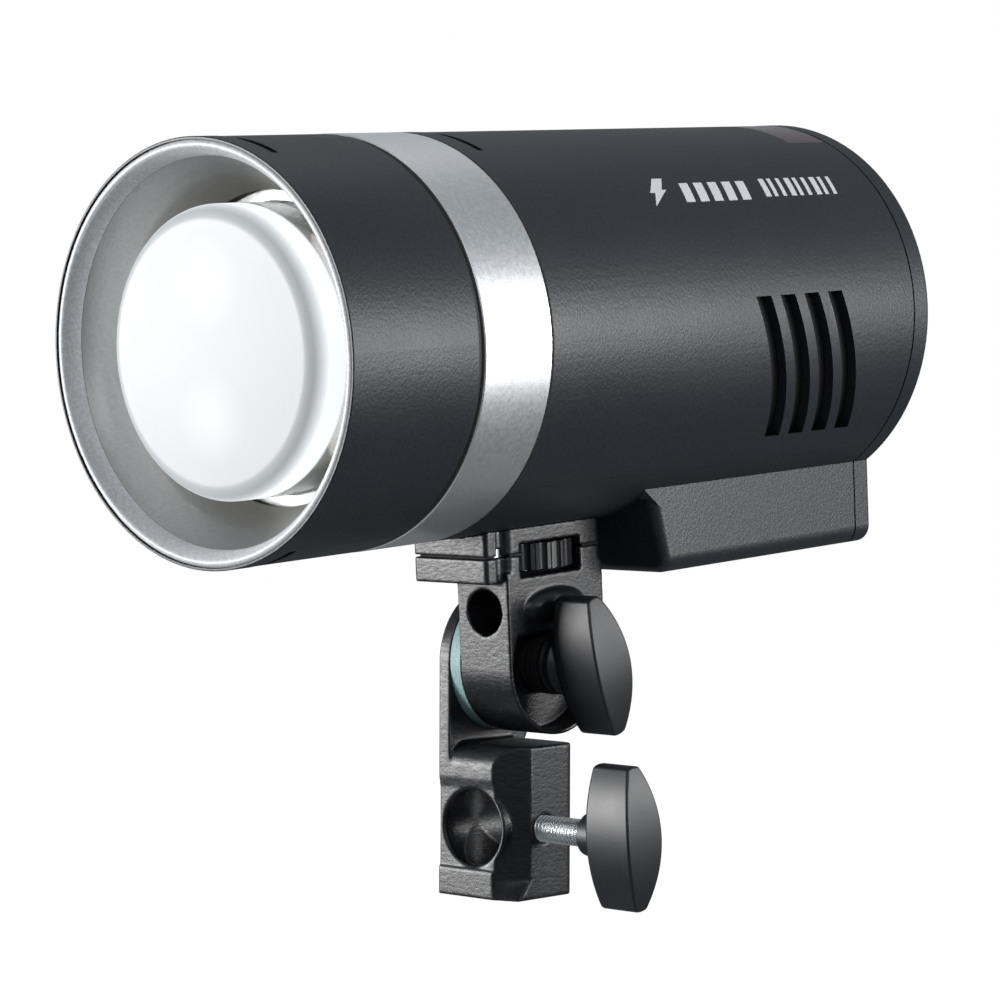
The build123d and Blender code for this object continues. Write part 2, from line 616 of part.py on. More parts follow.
# ---- tilting bracket head -----------------------------------------------------------------------
def umbrella_hole():
    """Egg-shaped hole along Y, whose narrow foot centres the shaft."""
    r, tip, drop = UMBRELLA_R, UMBRELLA_TIP_R, UMBRELLA_TIP_DROP
    down = (r - tip) / drop
    side = (1 - down * down) ** 0.5
    flanks = [(-r * side, -r * down), (r * side, -r * down),
              (tip * side, -drop - tip * down), (-tip * side, -drop - tip * down)]
    outline = Circle(r) + make_face(Polyline(*flanks, close=True)) + Pos(0, -drop) * Circle(tip)
    place = Plane((UMBRELLA_X, 60, UMBRELLA_Z), x_dir=(-1, 0, 0), z_dir=(0, 1, 0))
    return extrude(place * outline, 60, dir=(0, 1, 0))


def bracket_head():
    y, z = HINGE_S, HINGE_H
    front, rear = y - BARREL_R, y + BARREL_R
    plate = Pos(0, 0, PLATE_BOTTOM) * extrude(plate_outline(), PLATE_TOP - PLATE_BOTTOM)
    head = plate + rod_x(y, z, BARREL_R, BARREL_LEFT, BARREL_RIGHT)
    head += block(BARREL_LEFT, BARREL_RIGHT, front, rear, z, PLATE_BOTTOM + 2)
    swell = Pos(BARREL_RIGHT - 0.6, y + SWELL_Y, SWELL_Z) * scale(Sphere(1), by=SWELL)
    head += swell
    web = block(BARREL_LEFT - 1.5, BARREL_LEFT, front, rear, PLATE_BOTTOM - 1.5, PLATE_BOTTOM + 0.5)
    head += web - rod_y(BARREL_LEFT - 1.5, PLATE_BOTTOM - 1.5, 1.5, 50, 130)
    cup = rod_x(y, z, CUP_R, CUP_FLOOR, BARREL_RIGHT + 1)
    cup &= block(CUP_FLOOR, BARREL_RIGHT + 1, y - 20, y + 20, z - 20, z + CUP_TOP)
    head -= cup
    head -= rod_x(y, z, BOLT_R + BOLT_CLEAR, -20, 20)
    head -= umbrella_hole()
    head -= wheel_space()
    return head - rod_z(0, y, SCREW_R + 0.06, -54.2, -50)


# ---- stand bracket and its fixed hardware, row frame --------------------------------------------
def bevel_cut():
    """What the bevel takes off the front corner: full above, narrower towards the bottom."""
    def corner(width, z):
        points = [(BLOCK_RIGHT - BLOCK_BEVEL, BLOCK_NEAR), (BLOCK_RIGHT + 2, BLOCK_NEAR),
                  (BLOCK_RIGHT + 2, BLOCK_NEAR + width * (1 + 2 / BLOCK_BEVEL))]
        return Pos(0, 0, z) * make_face(Polyline(*points, close=True))

    upper = extrude(corner(BLOCK_BEVEL, FOOT_H), 40, dir=(0, 0, 1))
    return upper + loft([corner(BEVEL_FOOT, 0), corner(BLOCK_BEVEL, FOOT_H)], ruled=True)


def stand_block():
    """Block with a bevelled front corner, a rounded brow and a rim around the window."""
    near, far = BLOCK_NEAR, BLOCK_FAR
    body = block(ARM_LEFT, BLOCK_RIGHT, near, far, 0, BLOCK_H)
    corner = body.edges().filter_by(Axis.Z).sort_by(lambda edge: edge.center().X + edge.center().Y)[-1]
    body = fillet(corner, BLOCK_CORNER)
    body -= bevel_cut()
    low, high = FACE_BAND
    band = [(near - 1, low), (near, low), (near + FACE_STEP, low + FACE_STEP),
            (near + FACE_STEP, high - 2.2), (near, high), (near - 1, high)]
    body -= prism_x(band, ARM_LEFT - 1, BLOCK_RIGHT + 1)
    rim = rod_y(0, WINDOW_Z, WINDOW_RIM, near + FACE_STEP, 0)
    body += rim & block(ARM_LEFT, BLOCK_RIGHT, near, 0, 0, BLOCK_H)
    brow_y, brow_z = near + BLOCK_BROW, BLOCK_H - BLOCK_BROW
    brow = block(-20, 20, -20, brow_y, brow_z, BLOCK_H + 1)
    return body - (brow - rod_x(brow_y, brow_z, BLOCK_BROW, -20, 20))


def stand_arm():
    """Ear plate: round about the tilt axis and tangent to the block's front face."""
    ear = rod_x(HINGE_Y, HINGE_Z, ARM_R, ARM_LEFT, ARM_RIGHT)
    rear = HINGE_Y + ARM_R
    side = [(BLOCK_NEAR, FACE_BAND[1]), (BLOCK_NEAR, HINGE_Z), (rear, HINGE_Z), (rear - 0.6, 44),
            (BLOCK_FAR, 24), (BLOCK_FAR, FACE_BAND[1] - 12), (BLOCK_NEAR + 2, FACE_BAND[1] - 12)]
    return ear + prism_x(side, ARM_LEFT, ARM_RIGHT)


def stand_bracket():
    bracket = stand_block() + stand_arm()
    bracket -= rod_z(0, 0, SOCKET_R, -1, SOCKET_DEPTH)
    bracket -= rod_y(0, WINDOW_Z, SOCKET_R, -20, 20)
    depth = WINDOW_CHAMFER + 0.5
    flare = Cone(SOCKET_R + depth, SOCKET_R, depth)
    bracket -= Pos(0, BLOCK_NEAR + FACE_STEP, WINDOW_Z) * Rot(-90, 0, 0) * flare
    bracket -= Pos(0, BLOCK_FAR, WINDOW_Z) * Rot(90, 0, 0) * flare
    bracket -= rod_x(0, CLAMP_Z, CLAMP_R + CLAMP_CLEAR, 5, 20)
    bracket -= rod_x(HINGE_Y, HINGE_Z, BOLT_R, -20, 0)
    return bracket - hex_prism(BOLT_HEAD_R, ARM_LEFT - 1, ARM_LEFT + BOLT_HEAD_T)


def hex_prism(r, x0, x1):
    """Hexagon on the tilt axis."""
    place = Plane((x0, HINGE_Y, HINGE_Z), x_dir=(0, 1, 0), z_dir=(1, 0, 0))
    return extrude(place * RegularPolygon(r, 6), x1 - x0, dir=(1, 0, 0))


def tilt_bolt():
    bolt = hex_prism(BOLT_HEAD_R, ARM_LEFT, ARM_LEFT + BOLT_HEAD_T)
    shank = rod_x(HINGE_Y, HINGE_Z, BOLT_R, ARM_LEFT + 1, 24.0)
    return bolt + chamfer(shank.edges().sort_by(Axis.X)[-1], 0.6)


def friction_washer():
    washer = rod_x(HINGE_Y, HINGE_Z, WASHER_R, ARM_RIGHT, BARREL_LEFT - 0.05)
    return washer - rod_x(HINGE_Y, HINGE_Z, BOLT_R, -20, 0)


def disc_springs():
    """Four cupped spring washers, nested in pairs, between barrel and thrust washer."""
    springs, t, gap = [], 0.55, 0.85
    for i in range(4):
        x = CUP_FLOOR + 0.05 + i * gap
        rise = 0.3 if i % 2 else 0.0
        profile = [(x + rise, 4.3), (x + 0.3 - rise, 6.9), (x + 0.3 - rise + t - 0.05, 6.9),
                   (x + rise + t - 0.05, 4.3)]
        springs.append(turned_x(profile, HINGE_Y, HINGE_Z))
    return springs


def thrust_washer():
    washer = rod_x(HINGE_Y, HINGE_Z, THRUST_R, THRUST_X0, THRUST_X1)
    return washer - rod_x(HINGE_Y, HINGE_Z, BOLT_R + BOLT_CLEAR, 0, 20)


# ---- knobs and the clamp screw ----------------------------------------------------------------
def knob_grip(x, y, z, lean):
    """Lens-shaped grip with blunt ends, crowned outside and rounded at its edges."""
    l, w, e = KNOB_HALF_L, KNOB_HALF_W, KNOB_END_W
    tip = l + KNOB_TIP
    outline = [ThreePointArc((-e, l), (-w, 0), (-e, -l)), ThreePointArc((-e, -l), (0, -tip), (e, -l)),
               ThreePointArc((e, -l), (w, 0), (e, l)), ThreePointArc((e, l), (0, tip), (-e, l))]
    lens = make_face(outline)
    lens = fillet(lens.vertices(), KNOB_CORNER)
    grip = extrude(Plane.YZ * lens, KNOB_T + KNOB_CROWN, dir=(1, 0, 0))
    crown_r = (l * l + KNOB_CROWN * KNOB_CROWN) / (2 * KNOB_CROWN)
    grip &= rod_y(KNOB_T + KNOB_CROWN - crown_r, 0, crown_r, -20, 20)
    grip = fillet(grip.faces().sort_by(Axis.X)[-1].edges(), KNOB_FRONT_EDGE)
    grip = fillet(grip.faces().sort_by(Axis.X)[0].edges(), KNOB_BACK_EDGE)
    return Pos(x, y, z) * Rot(lean, 0, 0) * grip


def tilt_knob():
    """Grip with a stepped hub that presses on the thrust washer."""
    knob = knob_grip(TILT_KNOB_X, HINGE_Y, HINGE_Z, TILT_KNOB_LEAN)
    x0, x1 = THRUST_X1 + 0.05, TILT_KNOB_X
    hub = [(x0, 0), (x0, 6.9), (x0 + 1.2, 6.9), (x0 + 1.5, 6.3), (x0 + 2.1, 6.3), (x0 + 2.4, 6.9),
           (x0 + 3.4, 6.9), (x1 + 0.4, 5.5), (x1 + 0.4, 0)]
    knob += turned_x(hub, HINGE_Y, HINGE_Z)
    return knob - rod_x(HINGE_Y, HINGE_Z, 4.9, 0, 25.0)


def tilt_knob_insert():
    insert = rod_x(HINGE_Y, HINGE_Z, 4.9, THRUST_X1 + 0.05, 25.0)
    return insert - rod_x(HINGE_Y, HINGE_Z, BOLT_R + BOLT_CLEAR, 0, 24.4)


def clamp_knob():
    """Grip with a short collar round the screw."""
    knob = knob_grip(CLAMP_KNOB_X, 0, CLAMP_Z, CLAMP_KNOB_LEAN)
    x = CLAMP_KNOB_X
    hub = [(x - 3.4, 0), (x - 3.4, 4.3), (x - 3.0, 4.7), (x + 0.4, 5.3), (x + 0.4, 0)]
    knob += turned_x(hub, 0, CLAMP_Z)
    return knob - rod_x(0, CLAMP_Z, CLAMP_R, 0, x + 7.0)


def clamp_screw():
    screw = rod_x(0, CLAMP_Z, CLAMP_R, SHOE_FACE + SHOE_L, CLAMP_KNOB_X + 7.0)
    return screw


def clamp_shoe():
    """Loose pad on the screw's tip that bears on the stud."""
    shoe = rod_x(0, CLAMP_Z, CLAMP_R - 0.03, SHOE_FACE, SHOE_FACE + SHOE_L)
    return chamfer(shoe.edges().sort_by(Axis.X)[0], 0.3)


HEAD_NODES = [
    front_ring, front_strips, lip_ring, reflector, glass_dome, dome_holder, inner_reflector,
    flash_tube, tube_sockets, lamp_base, led_board, led_lens, led_heat_sink, front_bulkhead,
    silver_band, main_shell_upper, main_shell_lower, top_strip, optical_window, rear_cover,
    panel_overlay, lcd_window, lcd_module, dial, set_button, power_button, sync_jack,
    usb_port, cover_screws, battery_pack, battery_latch, battery_contacts, power_board, capacitors,
    capacitor_cradle, transformer, control_board, panel_board, fan_frame, fan_rotor, saddle_plate,
    thread_insert, saddle_screws, mount_wheel, mount_screw, bracket_head,
]
STAND_NODES = [
    stand_bracket, tilt_bolt, friction_washer, disc_springs, thrust_washer, tilt_knob,
    tilt_knob_insert, clamp_knob, clamp_screw, clamp_shoe,
]


def write(name, made, place=Location()):
    """One STEP file per node; a node of several equal pieces keeps them as separate solids."""
    pieces = made if isinstance(made, list) else [made]
    solids = [place * solid for piece in pieces for solid in piece.solids()]
    shape = solids[0] if len(solids) == 1 else Compound(children=solids)
    shape.label = name
    export_step(shape, f"parts/{name}.step")


def main():
    os.makedirs("parts", exist_ok=True)
    for make in HEAD_NODES:
        write(make.__name__, make(), HEAD_PLACE)
    for name in KEYS:
        write(name, key(name), HEAD_PLACE)
    for make in STAND_NODES:
        write(make.__name__, make())


main()
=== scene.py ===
"""Looks of the monolight strobe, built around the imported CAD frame, in metres."""

import json
import math

import bmesh
import bpy
from mathutils import Matrix, Vector

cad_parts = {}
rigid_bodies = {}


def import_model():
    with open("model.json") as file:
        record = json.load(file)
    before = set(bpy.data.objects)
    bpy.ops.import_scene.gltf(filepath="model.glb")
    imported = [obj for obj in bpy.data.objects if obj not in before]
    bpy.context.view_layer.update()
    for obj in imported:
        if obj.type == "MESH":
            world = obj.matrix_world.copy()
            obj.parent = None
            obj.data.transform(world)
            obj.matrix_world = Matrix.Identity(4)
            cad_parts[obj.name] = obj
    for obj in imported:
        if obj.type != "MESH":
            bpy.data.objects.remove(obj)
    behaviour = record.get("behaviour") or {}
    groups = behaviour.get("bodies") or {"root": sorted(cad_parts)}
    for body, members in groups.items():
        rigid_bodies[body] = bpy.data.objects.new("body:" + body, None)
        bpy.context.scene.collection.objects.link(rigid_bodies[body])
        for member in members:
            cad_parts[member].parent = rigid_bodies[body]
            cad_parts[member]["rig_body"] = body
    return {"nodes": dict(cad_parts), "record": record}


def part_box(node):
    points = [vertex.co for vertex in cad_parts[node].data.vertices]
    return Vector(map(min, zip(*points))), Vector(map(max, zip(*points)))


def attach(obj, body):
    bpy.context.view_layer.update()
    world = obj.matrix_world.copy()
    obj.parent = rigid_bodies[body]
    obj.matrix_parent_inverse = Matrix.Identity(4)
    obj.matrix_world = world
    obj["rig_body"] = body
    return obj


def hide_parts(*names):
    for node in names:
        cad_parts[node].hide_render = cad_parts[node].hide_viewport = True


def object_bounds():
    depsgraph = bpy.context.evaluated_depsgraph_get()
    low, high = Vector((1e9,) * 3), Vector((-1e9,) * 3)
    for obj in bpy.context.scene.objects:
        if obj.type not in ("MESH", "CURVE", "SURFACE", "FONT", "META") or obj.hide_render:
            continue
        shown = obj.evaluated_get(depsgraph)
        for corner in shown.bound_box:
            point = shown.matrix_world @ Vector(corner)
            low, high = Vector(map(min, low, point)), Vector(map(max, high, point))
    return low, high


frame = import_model()
CAD_LOW, CAD_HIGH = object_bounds()
NODES, RECORD = frame["nodes"], frame["record"]
MM = 0.001


# ---- the two frames ---------------------------------------------------------------------------
def mount(name):
    """The record's mount of that name."""
    return next(m for m in RECORD["mounts"] if m["name"] == name)


BARREL = mount("front_barrel")
HEAD_R = BARREL["dims"]["r_mm"] * MM
HEAD_AXIS = -Vector(BARREL["axis"])  # from the nose to the rear
BARREL_CENTRE = 18.0 * MM  # the mount's point, measured from the front rim
HEAD_ORIGIN = Vector(BARREL["pos_m"]) - BARREL_CENTRE * HEAD_AXIS
HEAD_UP = Vector((1, 0, 0)).cross(HEAD_AXIS)
HEAD = Matrix.Translation(HEAD_ORIGIN) @ Matrix(((1, 0, 0), HEAD_AXIS, HEAD_UP)).transposed().to_4x4()
HEAD_TURN = HEAD.to_3x3()


# ---- meshes -------------------------------------------------------------------------------------
def add_mesh(name, points, faces, smooth=True):
    """A new mesh object from points and faces."""
    data = bpy.data.meshes.new(name)
    data.from_pydata([tuple(p) for p in points], [], faces)
    data.validate()
    data.update()
    made = bpy.data.objects.new(name, data)
    bpy.context.scene.collection.objects.link(made)
    if smooth:
        data.polygons.foreach_set("use_smooth", [True] * len(data.polygons))
    return made


def grid_faces(rows, columns, flip=False):
    """Quads over a grid of rows by columns of points; the columns run round and meet."""
    faces = []
    for i in range(rows - 1):
        for j in range(columns):
            k = (j + 1) % columns
            quad = (i * columns + j, i * columns + k, (i + 1) * columns + k, (i + 1) * columns + j)
            faces.append(quad[::-1] if flip else quad)
    return faces


def soften_casting(node, voxel, rounds):
    """Copy of a CAD casting whose edges are rounded as a sand-blasted casting's are."""
    source = NODES[node]
    copy = bpy.data.objects.new(node + "_cast", source.data.copy())
    bpy.context.scene.collection.objects.link(copy)
    remesh = copy.modifiers.new("remesh", "REMESH")
    remesh.mode = "VOXEL"
    remesh.voxel_size = voxel
    smooth = copy.modifiers.new("smooth", "SMOOTH")
    smooth.factor = 0.5
    smooth.iterations = rounds
    bpy.context.view_layer.update()
    graph = bpy.context.evaluated_depsgraph_get()
    data = bpy.data.meshes.new_from_object(copy.evaluated_get(graph))
    copy.modifiers.clear()
    copy.data = data
    data.polygons.foreach_set("use_smooth", [True] * len(data.polygons))
    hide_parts(node)
    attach(copy, source["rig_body"])
    return copy


def finish_piece(piece, look, body):
    """Material and body of a new piece."""
    paint(piece, look)
    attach(piece, body)


def slab_mesh(patches, steps, front, back):
    """Points and faces of thin closed slabs.

    Each patch has four corners (u, v), in order; front and back turn (u, v) into a point.
    """
    points, faces = [], []
    for a, b, c, d in patches:
        start = len(points)
        for side in (front, back):
            for i in range(steps + 1):
                for j in range(steps + 1):
                    s, t = i / steps, j / steps
                    u, v = ((1 - s) * ((1 - t) * a[k] + t * b[k]) + s * ((1 - t) * d[k] + t * c[k])
                            for k in (0, 1))
                    points.append(side(u, v))
        layer = (steps + 1) ** 2
        at = [[start + i * (steps + 1) + j for j in range(steps + 1)] for i in range(steps + 1)]
        for i in range(steps):
            for j in range(steps):
                quad = (at[i][j], at[i][j + 1], at[i + 1][j + 1], at[i + 1][j])
                faces.append(quad)
                faces.append(tuple(k + layer for k in quad[::-1]))
        rim = at[0][:-1] + [row[-1] for row in at[:-1]] + at[-1][:0:-1] + [row[0] for row in at[:0:-1]]
        for k, here in enumerate(rim):
            ahead = rim[(k + 1) % len(rim)]
            faces.append((ahead, here, here + layer, ahead + layer))
    return points, faces


def on_barrel(radius):
    """(axis distance, angle in degrees from the side) to a point on a cylinder of that radius."""
    def place(along, angle):
        turn = math.radians(angle)
        return HEAD @ Vector((radius * math.cos(turn), along, radius * math.sin(turn)))
    return place


def on_rear(depth):
    """(x, z) to a point on the rear panel at that distance from the front rim."""
    return lambda x, z: HEAD @ Vector((x, depth, z))


def tube_along(path, radius, around):
    """Points and faces of a round wire with flat ends along a list of points."""
    points = []
    count = len(path)
    side = Vector((0, 0, 1))
    for i, centre in enumerate(path):
        run = (path[min(i + 1, count - 1)] - path[max(i - 1, 0)]).normalized()
        side = (side - run * side.dot(run)).normalized()
        other = run.cross(side)
        for j in range(around):
            angle = 2 * math.pi * j / around
            points.append(centre + radius * (side * math.cos(angle) + other * math.sin(angle)))
    faces = grid_faces(count, around)
    faces.append(tuple(range(around))[::-1])
    faces.append(tuple((count - 1) * around + j for j in range(around)))
    return points, faces


# ---- materials ----------------------------------------------------------------------------------
MIX_A, MIX_B, MIX_RESULT = 6, 7, 2  # the colour sockets of a Mix node, whose names repeat


class Surface:
    """A principled material with helpers for grain, tint and masks."""

    def __init__(self, name, colour, roughness, metallic=0.0, **sockets):
        self.material = bpy.data.materials.new(name)
        self.material.use_nodes = True
        self.tree = self.material.node_tree
        self.shader = self.tree.nodes["Principled BSDF"]
        self.set("Base Color", (*colour, 1.0))
        self.set("Roughness", roughness)
        self.set("Metallic", metallic)
        for socket, value in sockets.items():
            self.set(socket.replace("_", " "), value)
        self.colour, self.roughness = colour, roughness
        self.place = self.add("ShaderNodeTexCoord").outputs["Object"]

    def set(self, socket, value):
        """Constant value on the shader's own socket."""
        self.shader.inputs[socket].default_value = value

    def add(self, kind, **values):
        """New node of that kind with its properties set."""
        made = self.tree.nodes.new(kind)
        for key, value in values.items():
            setattr(made, key, value)
        return made

    def link(self, start, end):
        self.tree.links.new(start, end)

    def noise(self, size, detail=2.0, stretch=None, seed=0.0):
        """Noise whose blobs are about size metres across, stretched along some axes."""
        place = self.place
        if stretch:
            mapping = self.add("ShaderNodeMapping")
            mapping.inputs["Scale"].default_value = stretch
            self.link(place, mapping.inputs["Vector"])
            place = mapping.outputs["Vector"]
        node = self.add("ShaderNodeTexNoise", noise_dimensions="4D")
        node.inputs["W"].default_value = seed
        node.inputs["Scale"].default_value = 0.6 / size
        node.inputs["Detail"].default_value = detail
        self.link(place, node.inputs["Vector"])
        return node.outputs["Fac"]

    def spread(self, value, low, high, from_low=0.3, from_high=0.7):
        """Value mapped from its own range to low and high, and held inside them."""
        node = self.add("ShaderNodeMapRange")
        for key, number in (("From Min", from_low), ("From Max", from_high),
                            ("To Min", low), ("To Max", high)):
            node.inputs[key].default_value = number
        self.link(value, node.inputs["Value"])
        return node.outputs["Result"]

    def vary_colour(self, value, low, high):
        """Colour runs from low to high multiples of the base colour."""
        ramp = self.add("ShaderNodeMix", data_type="RGBA")
        ramp.inputs[MIX_A].default_value = (*[c * low for c in self.colour], 1)
        ramp.inputs[MIX_B].default_value = (*[c * high for c in self.colour], 1)
        self.link(self.spread(value, 0, 1), ramp.inputs["Factor"])
        self.link(ramp.outputs[MIX_RESULT], self.shader.inputs["Base Color"])
        return self

    def vary_roughness(self, value, amount):
        """Roughness runs by amount either side of its own value."""
        self.link(self.spread(value, self.roughness - amount, self.roughness + amount),
                  self.shader.inputs["Roughness"])
        return self

    def bump(self, *layers):
        """Each layer is (height value, depth in metres)."""
        normal = None
        for value, depth in layers:
            node = self.add("ShaderNodeBump")
            node.inputs["Distance"].default_value = depth
            self.link(value, node.inputs["Height"])
            if normal is not None:
                self.link(normal, node.inputs["Normal"])
            normal = node.outputs["Normal"]
        self.link(normal, self.shader.inputs["Normal"])
        return self

    def along(self, origin, axis):
        """Distance in metres from origin along axis, as a value."""
        shift = self.add("ShaderNodeVectorMath", operation="SUBTRACT")
        shift.inputs[1].default_value = origin
        self.link(self.place, shift.inputs[0])
        dot = self.add("ShaderNodeVectorMath", operation="DOT_PRODUCT")
        dot.inputs[1].default_value = axis
        self.link(shift.outputs["Vector"], dot.inputs[0])
        return dot.outputs["Value"]

    def away(self, origin, axis):
        """Distance in metres from the line through origin along axis, as a value."""
        shift = self.add("ShaderNodeVectorMath", operation="SUBTRACT")
        shift.inputs[1].default_value = origin
        self.link(self.place, shift.inputs[0])
        cross = self.add("ShaderNodeVectorMath", operation="CROSS_PRODUCT")
        cross.inputs[1].default_value = axis
        self.link(shift.outputs["Vector"], cross.inputs[0])
        length = self.add("ShaderNodeVectorMath", operation="LENGTH")
        self.link(cross.outputs["Vector"], length.inputs[0])
        return length.outputs["Value"]

    def combine(self, operation, first, second):
        """Arithmetic on two values."""
        node = self.add("ShaderNodeMath", operation=operation)
        self.link(first, node.inputs[0])
        self.link(second, node.inputs[1])
        return node.outputs[0]


def powder_coat(name, colour, roughness, size, depth):
    """Fine-grained paint: small bumps, and a colour that shifts a little over the surface."""
    s = Surface(name, colour, roughness)
    grain = s.noise(size, 3.0)
    s.vary_colour(grain, 0.75, 1.3)
    s.vary_roughness(s.noise(18 * MM, 2.0, seed=4.0), 0.03)
    return s.bump((grain, depth), (s.noise(size * 1.7, 2.0, seed=2.0), depth * 0.4))


def cast_coat(name, colour, roughness):
    """Coarser leathery paint of the castings."""
    s = Surface(name, colour, roughness)
    hide = s.noise(0.95 * MM, 3.0, stretch=(1.0, 1.0, 2.6), seed=7.0)
    fine = s.noise(0.35 * MM, 2.0, seed=1.0)
    s.vary_colour(hide, 0.8, 1.25)
    s.vary_roughness(hide, 0.07)
    return s.bump((hide, 0.06 * MM), (fine, 0.02 * MM))


def metal(name, colour, roughness, grain_size, grain_depth, **sockets):
    """Metal with a fine grain in its colour, roughness and surface."""
    s = Surface(name, colour, roughness, 1.0, **sockets)
    grain = s.noise(grain_size, 3.0)
    s.vary_colour(grain, 0.93, 1.05)
    s.vary_roughness(s.noise(grain_size * 2, 2.0, seed=3.0), 0.03)
    return s.bump((grain, grain_depth))


def moulded(name, colour, roughness, size=0.3 * MM, depth=0.015 * MM, **sockets):
    """Plastic, rubber or paint with a fine moulded grain."""
    s = Surface(name, colour, roughness, **sockets)
    grain = s.noise(size, 2.0)
    s.vary_colour(grain, 0.85, 1.15)
    s.vary_roughness(s.noise(9 * MM, 2.0, seed=5.0), 0.04)
    return s.bump((grain, depth))


# painted light on the frosted glass, which is no lamp: emission of its face, of its rounded edge, of two
# bright spots and of a bright band round its side
DOME_PAINTED_LIGHT, DOME_EDGE_PAINTED_LIGHT, DOME_PAINTED_SPOT, DOME_SIDE_PAINTED_LIGHT = 0.235, 0.27, 0.10, 0.70
FROST_START, FROST_END = 11.6 * MM, 12.6 * MM  # where the frost fades, from the front rim
FACE_START, FACE_END = 24.6 * MM, 27.6 * MM  # where the face turns into its rounded edge
SIDE_START, SIDE_END = 4.0 * MM, 7.0 * MM  # where the rounded edge turns into the side
# painted bright spots on the dome's face: their heights, and where they start and stop fading
SPOT_HEIGHTS, SPOT_INNER, SPOT_OUTER = (-13 * MM, 14 * MM), 1 * MM, 10 * MM


def frosted_dome_painted_light():
    """One glass cup: sandblasted in front and glowing with painted light, though it is no lamp; clear
    behind the blasted edge.
    """
    s = Surface("frosted_dome_painted_light", (0.29, 0.305, 0.315), 0.5, IOR=1.47)
    depth = s.along(HEAD_ORIGIN, HEAD_AXIS)
    frost = s.spread(depth, 1.0, 0.0, FROST_START, FROST_END)
    weight = s.add("ShaderNodeLayerWeight")
    weight.inputs["Blend"].default_value = 0.25
    clear_alpha = s.spread(weight.outputs["Fresnel"], 0.1, 0.8, 0.02, 0.6)
    alpha = s.add("ShaderNodeMix")
    s.link(frost, alpha.inputs[0])
    s.link(clear_alpha, alpha.inputs[2])
    alpha.inputs[3].default_value = 1.0
    s.link(alpha.outputs[0], s.shader.inputs["Alpha"])
    s.link(s.spread(frost, 0.03, 0.42, 0, 1), s.shader.inputs["Roughness"])
    # painted light: brighter towards the rounded edge, plus two bright spots and a bright band round the
    # side, only where frosted
    painted_glow = s.spread(s.away(HEAD_ORIGIN, HEAD_AXIS), DOME_PAINTED_LIGHT, DOME_EDGE_PAINTED_LIGHT, FACE_START, FACE_END)
    for height in SPOT_HEIGHTS:
        centre = HEAD @ Vector((0, 0, height))
        painted_spot = s.spread(s.away(centre, HEAD_AXIS), DOME_PAINTED_SPOT, 0.0, SPOT_INNER, SPOT_OUTER)
        painted_glow = s.combine("ADD", painted_glow, painted_spot)
    painted_glow = s.combine("ADD", painted_glow, s.spread(depth, 0.0, DOME_SIDE_PAINTED_LIGHT, SIDE_START, SIDE_END))
    painted_glow = s.combine("MULTIPLY", painted_glow, s.spread(s.noise(14 * MM, 1.0, seed=11.0), 0.94, 1.05))
    s.set("Emission Color", (0.93, 0.97, 1.0, 1.0))
    s.link(s.combine("MULTIPLY", painted_glow, frost), s.shader.inputs["Emission Strength"])
    return s


def glass(name, colour, alpha):
    """Tinted pane, clearest face on."""
    s = Surface(name, colour, 0.04, IOR=1.5)
    weight = s.add("ShaderNodeLayerWeight")
    weight.inputs["Blend"].default_value = 0.3
    s.link(s.spread(weight.outputs["Fresnel"], alpha, min(1.0, alpha + 0.6), 0.02, 0.7),
           s.shader.inputs["Alpha"])
    return s


def dark_window():
    """Deep red, nearly black window with a clear coat."""
    s = Surface("dark_window", (0.045, 0.006, 0.008), 0.12, IOR=1.5)
    s.vary_colour(s.noise(6 * MM, 2.0, seed=8.0), 0.7, 1.4)
    s.set("Coat Weight", 0.6)
    s.set("Coat Roughness", 0.05)
    return s


def circuit(name):
    """Green board with a pattern of lighter tracks."""
    s = Surface(name, (0.02, 0.11, 0.05), 0.35)
    tracks = s.add("ShaderNodeTexBrick")
    tracks.inputs["Scale"].default_value = 90.0
    tracks.inputs["Mortar Size"].default_value = 0.03
    tracks.inputs["Color1"].default_value = (0.02, 0.11, 0.05, 1)
    tracks.inputs["Color2"].default_value = (0.016, 0.09, 0.042, 1)
    tracks.inputs["Mortar"].default_value = (0.035, 0.17, 0.08, 1)
    s.link(s.place, tracks.inputs["Vector"])
    s.link(tracks.outputs["Color"], s.shader.inputs["Base Color"])
    return s


def glowing(name, colour, strength):
    """Glowing surface whose strength varies a little."""
    s = Surface(name, colour, 0.4)
    s.set("Emission Color", (*colour, 1.0))
    s.link(s.spread(s.noise(1.2 * MM, 1.0), strength * 0.9, strength * 1.1),
           s.shader.inputs["Emission Strength"])
    return s


